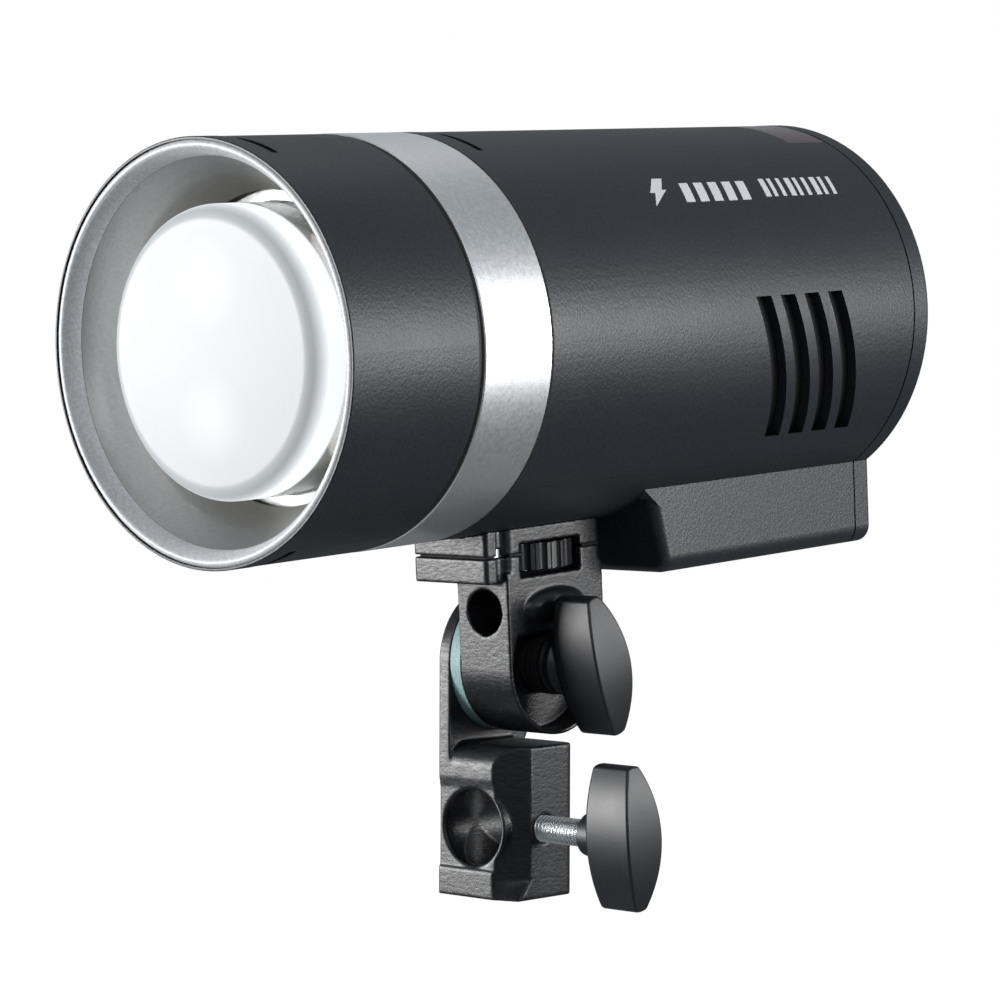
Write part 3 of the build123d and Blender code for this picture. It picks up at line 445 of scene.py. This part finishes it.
LOOKS = {
    "shell": powder_coat("shell_coat", (0.015, 0.018, 0.024), 0.43, 0.42 * MM, 0.065 * MM),
    "strip": powder_coat("strip_coat", (0.015, 0.018, 0.023), 0.38, 0.3 * MM, 0.010 * MM),
    "casting": cast_coat("casting_coat", (0.006, 0.0065, 0.009), 0.38),
    "knob": moulded("knob_satin", (0.011, 0.012, 0.015), 0.42, 0.28 * MM, 0.012 * MM),
    "silver": metal("band_satin", (0.90, 0.91, 0.93), 0.40, 0.30 * MM, 0.006 * MM),
    "lip": moulded("lip_bright", (0.56, 0.57, 0.585), 0.46, 0.40 * MM, 0.045 * MM, Metallic=0.07),
    "reflector": metal("reflector_pearl", (0.325, 0.33, 0.325), 0.42, 0.50 * MM, 0.05 * MM),
    # painted light: the polished mirror glows a little, standing in for the lamp's light falling on it
    "mirror": metal("mirror_polish_painted_glow", (0.88, 0.88, 0.88), 0.22, 3.0 * MM, 0.05 * MM,
                    Emission_Color=(1.0, 0.98, 0.94, 1.0), Emission_Strength=0.8),
    "zinc": metal("zinc_plate", (0.90, 0.94, 0.96), 0.28, 0.6 * MM, 0.002 * MM),
    "steel": metal("steel_dark", (0.30, 0.305, 0.32), 0.36, 0.6 * MM, 0.010 * MM),
    "brass": metal("brass_turned", (0.72, 0.52, 0.22), 0.3, 0.5 * MM, 0.010 * MM),
    "fin": metal("fin_aluminium", (0.5, 0.51, 0.52), 0.42, 0.5 * MM, 0.010 * MM),
    "ceramic": moulded("cream_ceramic", (0.72, 0.68, 0.56), 0.5, 0.5 * MM, 0.02 * MM),
    "inner": moulded("inner_black", (0.012, 0.012, 0.013), 0.6),
    "washer": moulded("washer_sheet", (0.26, 0.40, 0.41), 0.55, 0.5 * MM, 0.02 * MM),
    "key": moulded("key_rubber", (0.055, 0.056, 0.06), 0.6, 0.25 * MM, 0.01 * MM),
    "battery": moulded("battery_plastic", (0.018, 0.018, 0.02), 0.5, 0.4 * MM, 0.03 * MM),
    "latch": moulded("latch_plastic", (0.05, 0.05, 0.053), 0.45),
    "panel": moulded("panel_gloss", (0.006, 0.006, 0.007), 0.10, 6 * MM, 0.002 * MM, Coat_Weight=0.5),
    "display": moulded("display_face", (0.02, 0.028, 0.032), 0.25, 0.2 * MM, 0.001 * MM),
    "sleeve": moulded("capacitor_sleeve", (0.02, 0.022, 0.05), 0.3),
    "ink": moulded("mark_ink", (0.62, 0.63, 0.65), 0.45, 0.2 * MM, 0.002 * MM),
    "board": circuit("circuit_board"),
    "window": dark_window(),
    "dome": frosted_dome_painted_light(),
    "tube": glowing("tube_glow", (1.0, 0.98, 0.94), 4.0),
    # matte black of the joint line round the barrel, and painted shade in the plate's joint and behind
    # the vents
    "black_joint_and_shade": moulded("black_joint_and_painted_shade", (0.006, 0.006, 0.007), 0.8, 0.5 * MM, 0.1 * MM),
    "wire": metal("trigger_wire", (0.30, 0.27, 0.23), 0.35, 0.4 * MM, 0.005 * MM),
    "pixel": glowing("display_mark", (0.55, 0.75, 0.85), 0.7),
    "screen": glass("screen_glass", (0.02, 0.022, 0.025), 0.25),
    "lamp": glowing("lamp_phosphor", (1.0, 0.86, 0.55), 6.0),
}

NODE_LOOKS = {
    "shell": ["front_ring", "main_shell_upper", "main_shell_lower", "rear_cover"],
    "strip": ["front_strips", "top_strip"],
    "casting": ["saddle_plate", "bracket_head", "stand_bracket"],
    "knob": ["tilt_knob", "clamp_knob", "mount_wheel", "dial"],
    "silver": ["silver_band"],
    "lip": ["lip_ring"],
    "reflector": ["reflector", "dome_holder"],
    "mirror": ["inner_reflector"],
    "zinc": ["clamp_screw", "mount_screw"],
    "steel": ["tilt_bolt", "cover_screws", "saddle_screws", "sync_jack", "usb_port"],
    "brass": ["tilt_knob_insert", "clamp_shoe", "thread_insert"],
    "fin": ["led_heat_sink"],
    "ceramic": ["tube_sockets", "lamp_base"],
    "inner": ["front_bulkhead", "battery_contacts", "capacitor_cradle", "transformer",
              "fan_frame", "fan_rotor", "disc_springs", "thrust_washer"],
    "washer": ["friction_washer"],
    "key": ["set_button", "power_button", "mode_key", "group_key", "lamp_key", "test_key"],
    "battery": ["battery_pack"],
    "latch": ["battery_latch"],
    "panel": ["panel_overlay"],
    "display": ["lcd_module"],
    "sleeve": ["capacitors"],
    "board": ["led_board", "power_board", "control_board", "panel_board"],
    "window": ["optical_window"],
    "dome": ["glass_dome"],
    "tube": ["flash_tube"],
    "screen": ["lcd_window"],
    "lamp": ["led_lens"],
}


def paint(piece, look):
    """The only material of a piece."""
    piece.data.materials.clear()
    piece.data.materials.append(LOOKS[look].material)


def paint_nodes():
    """Materials of the CAD nodes that stay."""
    for look, names in NODE_LOOKS.items():
        for name in names:
            paint(NODES[name], look)


# ---- threaded clamp screw ---------------------------------------------------------------------
THREAD_MINOR, THREAD_PITCH, THREAD_LEAD_IN = 2.42 * MM, 1.0 * MM, 0.8 * MM
THREAD_CLEAR, THREAD_TIP = 0.02 * MM, 0.2 * MM  # under the CAD screw's skin, and less at the tip
THREAD_AROUND, THREAD_ROWS_PER_TURN = 48, 14


def threaded_screw():
    """The clamp screw with its M6 thread, on the CAD screw's own axis and length."""
    low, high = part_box("clamp_screw")
    axis_y, axis_z = (low.y + high.y) / 2, (low.z + high.z) / 2
    major = (high.z - low.z) / 2 - THREAD_CLEAR
    around, rows = THREAD_AROUND, int((high.x - low.x) / THREAD_PITCH * THREAD_ROWS_PER_TURN)
    points = []
    for i in range(rows + 1):
        x = low.x + (high.x - low.x) * i / rows
        fade = min(1.0, (x - low.x) / THREAD_LEAD_IN)
        for j in range(around):
            angle = 2 * math.pi * j / around
            phase = ((x - low.x) / THREAD_PITCH - j / around) % 1.0
            flank = min(1.0, max(0.0, abs(phase - 0.5) * 3.1 - 0.25))
            height = (major - THREAD_MINOR) * flank * (0.4 + 0.6 * fade)
            radius = THREAD_MINOR + height - (1 - fade) * THREAD_TIP
            points.append((x, axis_y + radius * math.cos(angle), axis_z + radius * math.sin(angle)))
    faces = grid_faces(rows + 1, around)
    faces.append(tuple(range(around))[::-1])
    faces.append(tuple(rows * around + j for j in range(around)))
    screw = add_mesh("clamp_screw_thread", points, faces)
    paint(screw, "zinc")
    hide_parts("clamp_screw")
    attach(screw, "clamp_knob")


# ---- glass dome and the seams round the barrel --------------------------------------------------
def lathe(name, profile, around, closed=True):
    """Ring of revolution about the head's axis from (radius, distance) points."""
    points = []
    for radius, along in profile:
        for j in range(around):
            angle = 2 * math.pi * j / around
            points.append(HEAD @ Vector((radius * math.cos(angle), along, radius * math.sin(angle))))
    faces = grid_faces(len(profile), around, flip=True)
    if closed:
        last = (len(profile) - 1) * around
        faces += [(j, (j + 1) % around, last + (j + 1) % around, last + j) for j in range(around)]
    else:
        faces.append(tuple(range(around)))
        faces.append(tuple((len(profile) - 1) * around + j for j in range(around))[::-1])
    return add_mesh(name, points, faces)


DOME_CORNER, DOME_WALL, DOME_BULGE = 3.6 * MM, 1.8 * MM, 0.4 * MM
FACE_STEPS, TURN_STEP, CUP_AROUND = 24, 6, 128


def cup_profile(radius, front, rear, corner, bulge):
    """Half outline of a cup from the middle of its slightly bulged face to its rim."""
    flat = radius - corner
    shares = [k / FACE_STEPS for k in range(1, FACE_STEPS + 1)]
    face = [(flat * share, front + bulge * share ** 2) for share in shares]
    turn = [(flat + corner * math.sin(a), front + bulge + corner * (1 - math.cos(a)))
            for a in (math.radians(TURN_STEP * k) for k in range(1, 90 // TURN_STEP + 1))]
    return face + turn + [(radius, rear)]


def dome_cup():
    """The dome as one smooth cup: rounded outside and inside, with a plain rim."""
    _, _, width, _, rear = panel_box("glass_dome")
    inverse = HEAD.inverted()
    front = min((inverse @ v.co).y for v in NODES["glass_dome"].data.vertices)
    outer = cup_profile(width / 2, front, rear, DOME_CORNER, DOME_BULGE)
    inner = cup_profile(width / 2 - DOME_WALL, front + DOME_WALL, rear,
                        DOME_CORNER - DOME_WALL / 2, DOME_BULGE)
    cup = lathe("dome_cup", outer + inner[::-1], CUP_AROUND, closed=False)
    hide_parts("glass_dome")
    finish_piece(cup, "dome", "head")


SEAM_START, SEAM_END, SEAM_AROUND = 57.55 * MM, 58.25 * MM, 192
SEAM_SKIN, SEAM_FOOT = HEAD_R + 0.012 * MM, HEAD_R - 0.3 * MM


def seam_ring():
    """Dark joint line between the silver band and the shells."""
    profile = [(SEAM_FOOT, SEAM_START), (SEAM_SKIN, SEAM_START), (SEAM_SKIN, SEAM_END),
               (SEAM_FOOT, SEAM_END)]
    ring = lathe("seam_ring", profile, SEAM_AROUND)
    ring.data.polygons.foreach_set("use_smooth", [False] * len(ring.data.polygons))
    finish_piece(ring, "black_joint_and_shade", "head")


# patches of painted shade in the joint: x0, x1 and distances behind the plate's front edge in mm, clear
# of the wheel
JOINT_SHADE_PATCHES = ((-9.6, 9.6, 1.0, 8.0), (8.4, 11.0, 7.2, 12.0), (-11.0, -8.4, 7.2, 12.0),
                  (9.2, 11.0, 31.0, 36.4), (-11.0, -9.2, 31.0, 36.4))
JOINT_SHADE_LAP = 0.02 * MM  # how far it goes into each casting


def plate_joint_shade():
    """Painted shade: thin black sheets that close the joint between the saddle and the bracket's plate
    in front.
    """
    inverse = HEAD.inverted()
    saddle = [inverse @ v.co for v in NODES["saddle_plate"].data.vertices]
    bracket = [inverse @ v.co for v in NODES["bracket_head"].data.vertices]
    front, bottom = min(p.y for p in saddle), min(p.z for p in saddle)
    top = max(p.z for p in bracket)
    patches = []
    for x0, x1, y0, y1 in JOINT_SHADE_PATCHES:
        patches.append([(x0 * MM, front + y0 * MM), (x0 * MM, front + y1 * MM),
                        (x1 * MM, front + y1 * MM), (x1 * MM, front + y0 * MM)])
    points, faces = slab_mesh(patches, 1, lambda x, y: HEAD @ Vector((x, y, bottom - JOINT_SHADE_LAP)),
                              lambda x, y: HEAD @ Vector((x, y, top + JOINT_SHADE_LAP)))
    joint_shade = add_mesh("plate_joint_shade", points, faces, smooth=False)
    finish_piece(joint_shade, "black_joint_and_shade", "head")


SHELL_MIDDLE, SHELL_CUT, SHELL_CUTS = 120.8 * MM, 7.4 * MM, 8  # cuts each side of the middle
SHELL_CUT_ANGLE, SKIN_DEPTH, SHARP_ANGLE = 6, 0.08 * MM, 30  # angles in degrees


def shell_skin():
    """The upper shell with its long facets cut small and its outside set on the true cylinder."""
    source = NODES["main_shell_upper"]
    mesh = bmesh.new()
    mesh.from_mesh(source.data)
    outside = mesh.faces.layers.int.new("outside")
    for face in mesh.faces:
        face[outside] = all(out_of_axis(v.co).length > HEAD_R - SKIN_DEPTH for v in face.verts)
    for k in range(-SHELL_CUTS, SHELL_CUTS + 1):
        along = HEAD_ORIGIN + HEAD_AXIS * (SHELL_MIDDLE + k * SHELL_CUT)
        cut_all(mesh, along, HEAD_AXIS)
    for angle in range(0, 180, SHELL_CUT_ANGLE):
        turn = math.radians(angle)
        cut_all(mesh, HEAD_ORIGIN, HEAD_TURN @ Vector((math.cos(turn), 0, math.sin(turn))))
    for vertex in mesh.verts:
        if any(face[outside] for face in vertex.link_faces):
            across = out_of_axis(vertex.co)
            vertex.co += across.normalized() * (HEAD_R - across.length)
    data = bpy.data.meshes.new("shell_skin")
    mesh.to_mesh(data)
    mesh.free()
    if "custom_normal" in data.attributes:
        data.attributes.remove(data.attributes["custom_normal"])
    data.polygons.foreach_set("use_smooth", [True] * len(data.polygons))
    data.set_sharp_from_angle(angle=math.radians(SHARP_ANGLE))
    skin = bpy.data.objects.new("shell_skin", data)
    bpy.context.scene.collection.objects.link(skin)
    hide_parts("main_shell_upper")
    finish_piece(skin, "shell", "head")


def out_of_axis(point):
    """Shortest vector from the head's axis to a point."""
    arm = point - HEAD_ORIGIN
    return arm - HEAD_AXIS * arm.dot(HEAD_AXIS)


def cut_all(mesh, point, normal):
    """Split every face of the mesh that crosses a plane."""
    geometry = mesh.verts[:] + mesh.edges[:] + mesh.faces[:]
    bmesh.ops.bisect_plane(mesh, geom=geometry, plane_co=point, plane_no=normal, dist=1e-7)


# ---- painted shade: black sheets behind the vents ---------------------------------------------
# painted shade behind the vents: outer and inner radius, steps, span along the axis and angles of the
# black sheets
VENT_SHADE_OUT, VENT_SHADE_IN, VENT_SHADE_STEPS = 41.0 * MM, 40.6 * MM, 24
VENT_SHADE_START, VENT_SHADE_END = 121 * MM, 172 * MM
VENT_SHADE_LOW, VENT_SHADE_HIGH = -41.0, 11.0  # in degrees from the side


def vent_shade_sheets():
    """Painted shade: curved black sheets that close the view through the vents."""
    for name, mirror in (("vent_shade_right", 1), ("vent_shade_left", -1)):
        low, high = (VENT_SHADE_LOW, VENT_SHADE_HIGH) if mirror > 0 else (180 - VENT_SHADE_HIGH, 180 - VENT_SHADE_LOW)
        patch = [(VENT_SHADE_START, low), (VENT_SHADE_START, high), (VENT_SHADE_END, high), (VENT_SHADE_END, low)]
        points, faces = slab_mesh([patch], VENT_SHADE_STEPS, on_barrel(VENT_SHADE_OUT), on_barrel(VENT_SHADE_IN))
        finish_piece(add_mesh(name, points, faces), "black_joint_and_shade", "head")


# ---- printed mark on the side -----------------------------------------------------------------
def slanted_bar(start, width, low, high, lean):
    """Corners of an upright bar whose top is shifted along the axis by lean."""
    return [(start, low), (start + lean, high), (start + lean + width, high), (start + width, low)]


MARK_LOW, MARK_HIGH = 36.4, 46.6  # in degrees from the side
MARK_MIDDLE = (MARK_LOW + MARK_HIGH) / 2
MARK_SKIN, MARK_DEPTH, MARK_STEPS = HEAD_R + 0.03 * MM, 0.06 * MM, 8
BOLT = (((107.4, MARK_HIGH), (110.8, MARK_HIGH), (107.2, MARK_MIDDLE - 0.4), (103.4, MARK_MIDDLE - 0.4)),
        ((105.6, MARK_MIDDLE + 0.6), (109.4, MARK_MIDDLE + 0.6), (102.8, MARK_LOW), (102.6, MARK_LOW)))
WIDE_COUNT, WIDE_START, WIDE_STEP, WIDE_WIDTH, WIDE_LEAN = 5, 113.5, 4.9, 3.0, 1.5
FINE_COUNT, FINE_START, FINE_STEP, FINE_LEAN = 9, 142.0, 3.1, 1.2
FINE_WIDTHS = (1.9, 1.3, 1.3)  # of each three bars in turn


def printed_mark():
    """A flash sign and two rows of slanted bars, in place of any lettering."""
    bolt = [[(along * MM, angle) for along, angle in patch] for patch in BOLT]
    wide = [slanted_bar((WIDE_START + WIDE_STEP * i) * MM, WIDE_WIDTH * MM, MARK_LOW + 0.8,
                        MARK_HIGH - 2.2, WIDE_LEAN * MM) for i in range(WIDE_COUNT)]
    fine = [slanted_bar((FINE_START + FINE_STEP * i) * MM, FINE_WIDTHS[i % 3] * MM, MARK_LOW + 1.6,
                        MARK_HIGH - 1.6, FINE_LEAN * MM) for i in range(FINE_COUNT)]
    points, faces = slab_mesh(bolt + wide + fine, MARK_STEPS, on_barrel(MARK_SKIN),
                              on_barrel(MARK_SKIN - MARK_DEPTH))
    mark = add_mesh("printed_mark", points, faces, smooth=False)
    finish_piece(mark, "ink", "head")


# ---- rear panel: display figures and key signs ------------------------------------------------
SEGMENTS = {"1": "bc", "2": "abdeg", "4": "bcfg", "6": "acdefg", "8": "abcdefg"}


def segment_patches(figure, x, z, width, height, stroke):
    """Bars of a seven-segment figure whose lower left corner is at x, z, as seen from behind."""
    half = height / 2
    bars = {"a": (0, height - stroke, width, height), "d": (0, 0, width, stroke),
            "g": (0, half - stroke / 2, width, half + stroke / 2),
            "b": (width - stroke, half, width, height), "c": (width - stroke, 0, width, half),
            "f": (0, half, stroke, height), "e": (0, 0, stroke, half)}
    found = []
    for key in SEGMENTS[figure]:
        x0, z0, x1, z1 = bars[key]
        found.append([(x - x0, z + z0), (x - x0, z + z1), (x - x1, z + z1), (x - x1, z + z0)])
    return found


def rectangle(x, z, width, height):
    """Corners of an upright rectangle about x, z, as seen from behind."""
    w, h = width / 2, height / 2
    return [(x + w, z - h), (x + w, z + h), (x - w, z + h), (x - w, z - h)]


def panel_box(node):
    """Middle x, middle z, width, height and rear face of a node, in the head frame."""
    inverse = HEAD.inverted()
    found = [inverse @ v.co for v in NODES[node].data.vertices]
    low = [min(v[i] for v in found) for i in range(3)]
    high = [max(v[i] for v in found) for i in range(3)]
    return (low[0] + high[0]) / 2, (low[2] + high[2]) / 2, high[0] - low[0], high[2] - low[2], high[1]


# all in mm, from the display's left and lower edge as seen from behind
DIGIT_LOW, DIGIT_W, DIGIT_H, DIGIT_STROKE = 5, 4.6, 9, 0.9
ONE_START, ONE_W = 3, 3.6
SLASH = ((9.4, 5), (11.4, 14), (12.2, 14), (10.2, 5))
POWER_FIGURES, POWER_START, POWER_STEP = "64", 14, 6.4
CHANNEL_FIGURES, CHANNEL_START, CHANNEL_STEP, CHANNEL_LOW = "28", 29, 3.1, 9
CHANNEL_W, CHANNEL_H, CHANNEL_STROKE = 2.2, 4, 0.45
TOP_ROW, RULES, RULE_MARGIN, RULE_H = 19, (16.6, 3.2), 4, 0.25
CELL_COUNT, CELL_START, CELL_STEP, CELL_W, CELL_H = 4, 29.5, 1.6, 1.1, 2.2
DASH_COUNT, DASH_START, DASH_STEP, DASH_W, DASH_H = 5, 4, 4.2, 2.6, 0.9
FIGURE_RISE, FIGURE_FOOT = 0.10 * MM, 0.02 * MM  # above the display's face


def display_figures():
    """Power level, channel, battery cells and a row of dashes, under the display's window."""
    x, z, width, height, face = panel_box("lcd_module")
    left, low = x + width / 2, z - height / 2
    patches = segment_patches("1", left - ONE_START * MM, low + DIGIT_LOW * MM,
                              ONE_W * MM, DIGIT_H * MM, DIGIT_STROKE * MM)
    patches.append([(left - u * MM, low + v * MM) for u, v in SLASH])
    for k, figure in enumerate(POWER_FIGURES):
        patches += segment_patches(figure, left - (POWER_START + POWER_STEP * k) * MM,
                                   low + DIGIT_LOW * MM, DIGIT_W * MM, DIGIT_H * MM,
                                   DIGIT_STROKE * MM)
    for k, figure in enumerate(CHANNEL_FIGURES):
        patches += segment_patches(figure, left - (CHANNEL_START + CHANNEL_STEP * k) * MM,
                                   low + CHANNEL_LOW * MM, CHANNEL_W * MM, CHANNEL_H * MM,
                                   CHANNEL_STROKE * MM)
    for k in range(CELL_COUNT):
        patches.append(rectangle(left - (CELL_START + CELL_STEP * k) * MM, low + TOP_ROW * MM,
                                 CELL_W * MM, CELL_H * MM))
    for rule in RULES:
        patches.append(rectangle(x, low + rule * MM, width - RULE_MARGIN * MM, RULE_H * MM))
    for k in range(DASH_COUNT):
        patches.append(rectangle(left - (DASH_START + DASH_STEP * k) * MM, low + TOP_ROW * MM,
                                 DASH_W * MM, DASH_H * MM))
    points, faces = slab_mesh(patches, 1, on_rear(face + FIGURE_RISE), on_rear(face + FIGURE_FOOT))
    figures = add_mesh("display_figures", points, faces, smooth=False)
    finish_piece(figures, "pixel", "head")


# bars of each sign in mm: x and z from the key's middle, width and height
SIGNS = {
    "mode_key": [(0, 0, 3.2, 0.5), (0, 1.1, 3.2, 0.5), (0, -1.1, 3.2, 0.5)],
    "group_key": [(-1.5, 0, 0.9, 0.9), (0, 0, 0.9, 0.9), (1.5, 0, 0.9, 0.9)],
    "lamp_key": [(0, 0, 1.3, 1.3), (0, 1.5, 0.35, 0.8), (0, -1.5, 0.35, 0.8), (1.7, 0, 0.9, 0.35),
                 (-1.7, 0, 0.9, 0.35)],
    "test_key": [(0, 0, 0.45, 3.0), (0, 0, 3.0, 0.45)],
    "power_button": [(0, 0, 4.6, 0.5)],
    "set_button": [(0, 0, 1.4, 1.4)],
}
SIGN_RISE, SIGN_FOOT = 0.03 * MM, 0.08 * MM  # above and below the key's face


def key_signs():
    """One simple raised sign on each key."""
    for node, bars in SIGNS.items():
        x, z, _, _, face = panel_box(node)
        patches = [rectangle(x + u * MM, z + v * MM, w * MM, h * MM) for u, v, w, h in bars]
        points, faces = slab_mesh(patches, 1, on_rear(face + SIGN_RISE), on_rear(face - SIGN_FOOT))
        sign = add_mesh(node + "_sign", points, faces, smooth=False)
        finish_piece(sign, "ink", NODES[node]["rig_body"])


# ---- trigger wire and dome springs ------------------------------------------------------------
TUBE_RING_R, TUBE_SKIN_R, TUBE_DEPTH = 18.5 * MM, 3.15 * MM, 18.5 * MM
TUBE_GAP = 46.0  # opening of the ring tube at its lowest point, in degrees
WIRE_MARGIN, WIRE_R, WIRE_TURNS, WIRE_STEPS_PER_TURN = 4, 0.14 * MM, 26, 16
SPRING_ANGLES, SPRING_PLACE_R = (40, 140, 220, 320), 25.2 * MM
SPRING_R, SPRING_WIRE_R, SPRING_TURNS, SPRING_STEPS = 1.7 * MM, 0.26 * MM, 6, 96
SPRING_START, SPRING_L = 15.5, 8.0  # in mm from the front rim


def trigger_wire():
    """Thin wire wound along the ring tube."""
    steps = WIRE_TURNS * WIRE_STEPS_PER_TURN
    path = []
    for i in range(steps + 1):
        share = i / steps
        arc = (360 - TUBE_GAP - 2 * WIRE_MARGIN) * share
        along = math.radians(-90 + TUBE_GAP / 2 + WIRE_MARGIN + arc)
        roll = 2 * math.pi * WIRE_TURNS * share
        radius = TUBE_RING_R + TUBE_SKIN_R * math.cos(roll)
        path.append(HEAD @ Vector((radius * math.cos(along), TUBE_DEPTH + TUBE_SKIN_R * math.sin(roll),
                                   radius * math.sin(along))))
    points, faces = tube_along(path, WIRE_R, 6)
    finish_piece(add_mesh("trigger_wire", points, faces), "wire", "head")


def dome_springs():
    """Small coil springs that press the dome's rim, spread round the lamp base."""
    for k, angle in enumerate(SPRING_ANGLES):
        turn = math.radians(angle)
        centre = SPRING_PLACE_R * Vector((math.cos(turn), 0, math.sin(turn)))
        path = []
        for i in range(SPRING_STEPS + 1):
            roll = 2 * math.pi * SPRING_TURNS * i / SPRING_STEPS
            along = (SPRING_START + SPRING_L * i / SPRING_STEPS) * MM
            arm = Vector((SPRING_R * math.cos(roll), along, SPRING_R * math.sin(roll)))
            path.append(HEAD @ (centre + arm))
        points, faces = tube_along(path, SPRING_WIRE_R, 8)
        finish_piece(add_mesh(f"dome_spring_{k + 1}", points, faces), "zinc", "head")


# ---- castings -------------------------------------------------------------------------------------
# node, voxel size, rounds of smoothing
CASTINGS = (("bracket_head", 0.24 * MM, 14), ("stand_bracket", 0.24 * MM, 14),
            ("saddle_plate", 0.22 * MM, 4))


def castings():
    """The three castings with rounded edges."""
    for node, voxel, rounds in CASTINGS:
        piece = soften_casting(node, voxel, rounds)
        paint(piece, "casting")


# ---- camera, lights, floor --------------------------------------------------------------------
# the photograph's viewpoint in the head frame, and its lens
CAMERA_PLACE, CAMERA_LENS = (0.521953, -0.485479, 0.027876), 128.05
CAMERA_RIGHT, CAMERA_BACK = (0.741035, 0.670260, -0.040239), (0.670956, -0.736804, 0.083297)


def camera():
    """Camera at the photograph's viewpoint."""
    data = bpy.data.cameras.new("camera")
    data.sensor_width, data.lens = 36.0, CAMERA_LENS
    data.clip_start, data.clip_end = 0.05, 50
    made = bpy.data.objects.new("camera", data)
    bpy.context.scene.collection.objects.link(made)
    right = (HEAD_TURN @ Vector(CAMERA_RIGHT)).normalized()
    back = HEAD_TURN @ Vector(CAMERA_BACK)
    back = (back - right * back.dot(right)).normalized()
    up = back.cross(right)
    place = HEAD @ Vector(CAMERA_PLACE)
    made.matrix_world = Matrix.Translation(place) @ Matrix((right, up, back)).transposed().to_4x4()
    bpy.context.scene.camera = made


def softbox(name, direction, distance, width, height, power):
    """Rectangular area light that looks at the middle of the object."""
    data = bpy.data.lights.new(name, "AREA")
    data.shape, data.size, data.size_y = "RECTANGLE", width, height
    data.energy = power
    made = bpy.data.objects.new(name, data)
    bpy.context.scene.collection.objects.link(made)
    centre = (CAD_LOW + CAD_HIGH) / 2
    toward = Vector(direction).normalized()
    made.location = centre + toward * distance
    made.rotation_mode = "QUATERNION"
    made.rotation_quaternion = toward.to_track_quat("Z", "Y")


SKY_COLOUR, SKY_STRENGTH = (0.86, 0.94, 1.0, 1), 0.26


def backdrop():
    """White surroundings for the camera, dimmer ones for reflections."""
    world = bpy.data.worlds.new("studio")
    bpy.context.scene.world = world
    world.use_nodes = True
    tree = world.node_tree
    out = tree.nodes["World Output"]
    seen, reflected = tree.nodes["Background"], tree.nodes.new("ShaderNodeBackground")
    seen.inputs["Color"].default_value = (1, 1, 1, 1)
    reflected.inputs["Color"].default_value = SKY_COLOUR
    reflected.inputs["Strength"].default_value = SKY_STRENGTH
    path, mix = tree.nodes.new("ShaderNodeLightPath"), tree.nodes.new("ShaderNodeMixShader")
    tree.links.new(path.outputs["Is Camera Ray"], mix.inputs[0])
    tree.links.new(reflected.outputs[0], mix.inputs[1])
    tree.links.new(seen.outputs[0], mix.inputs[2])
    tree.links.new(mix.outputs[0], out.inputs["Surface"])


FLOOR_HALF, FLOOR_DROP, FLOOR_WHITE = 12.0, 1.1, 1.02


def floor():
    """Pale floor well below the light, which a stand would hold: plain white to the camera."""
    signs = ((-1, -1), (1, -1), (1, 1), (-1, 1))
    corners = [(x * FLOOR_HALF, y * FLOOR_HALF, -FLOOR_DROP) for x, y in signs]
    piece = add_mesh("floor", corners, [(0, 1, 2, 3)], smooth=False)
    s = Surface("floor_pale", (0.30, 0.30, 0.30), 0.7)
    white, path = s.add("ShaderNodeEmission"), s.add("ShaderNodeLightPath")
    mix = s.add("ShaderNodeMixShader")
    white.inputs["Strength"].default_value = FLOOR_WHITE
    s.link(path.outputs["Is Camera Ray"], mix.inputs[0])
    s.link(s.shader.outputs[0], mix.inputs[1])
    s.link(white.outputs[0], mix.inputs[2])
    s.link(mix.outputs[0], s.tree.nodes["Material Output"].inputs["Surface"])
    piece.data.materials.append(s.material)


# name, direction from the object, distance, width, height, power in watts
SOFTBOXES = (
    ("rear_right", (0.86, 0.51, 0.095), 1.1, 0.66, 0.30, 9.5),
    ("front_left", (-0.72, -0.69, 0.02), 1.3, 0.70, 0.48, 21),
    ("top", (-0.1, 0.1, 1.0), 1.3, 0.7, 1.0, 5),
    ("front_right", (0.80, -0.45, 0.42), 1.5, 0.30, 0.5, 2.6),
)


def lights():
    """Soft studio light from four sides."""
    for row in SOFTBOXES:
        softbox(*row)


paint_nodes()
castings()
threaded_screw()
dome_cup()
shell_skin()
seam_ring()
plate_joint_shade()
vent_shade_sheets()
printed_mark()
display_figures()
key_signs()
trigger_wire()
dome_springs()
camera()
backdrop()
floor()
lights()
bpy.context.scene.view_settings.view_transform = "Standard"
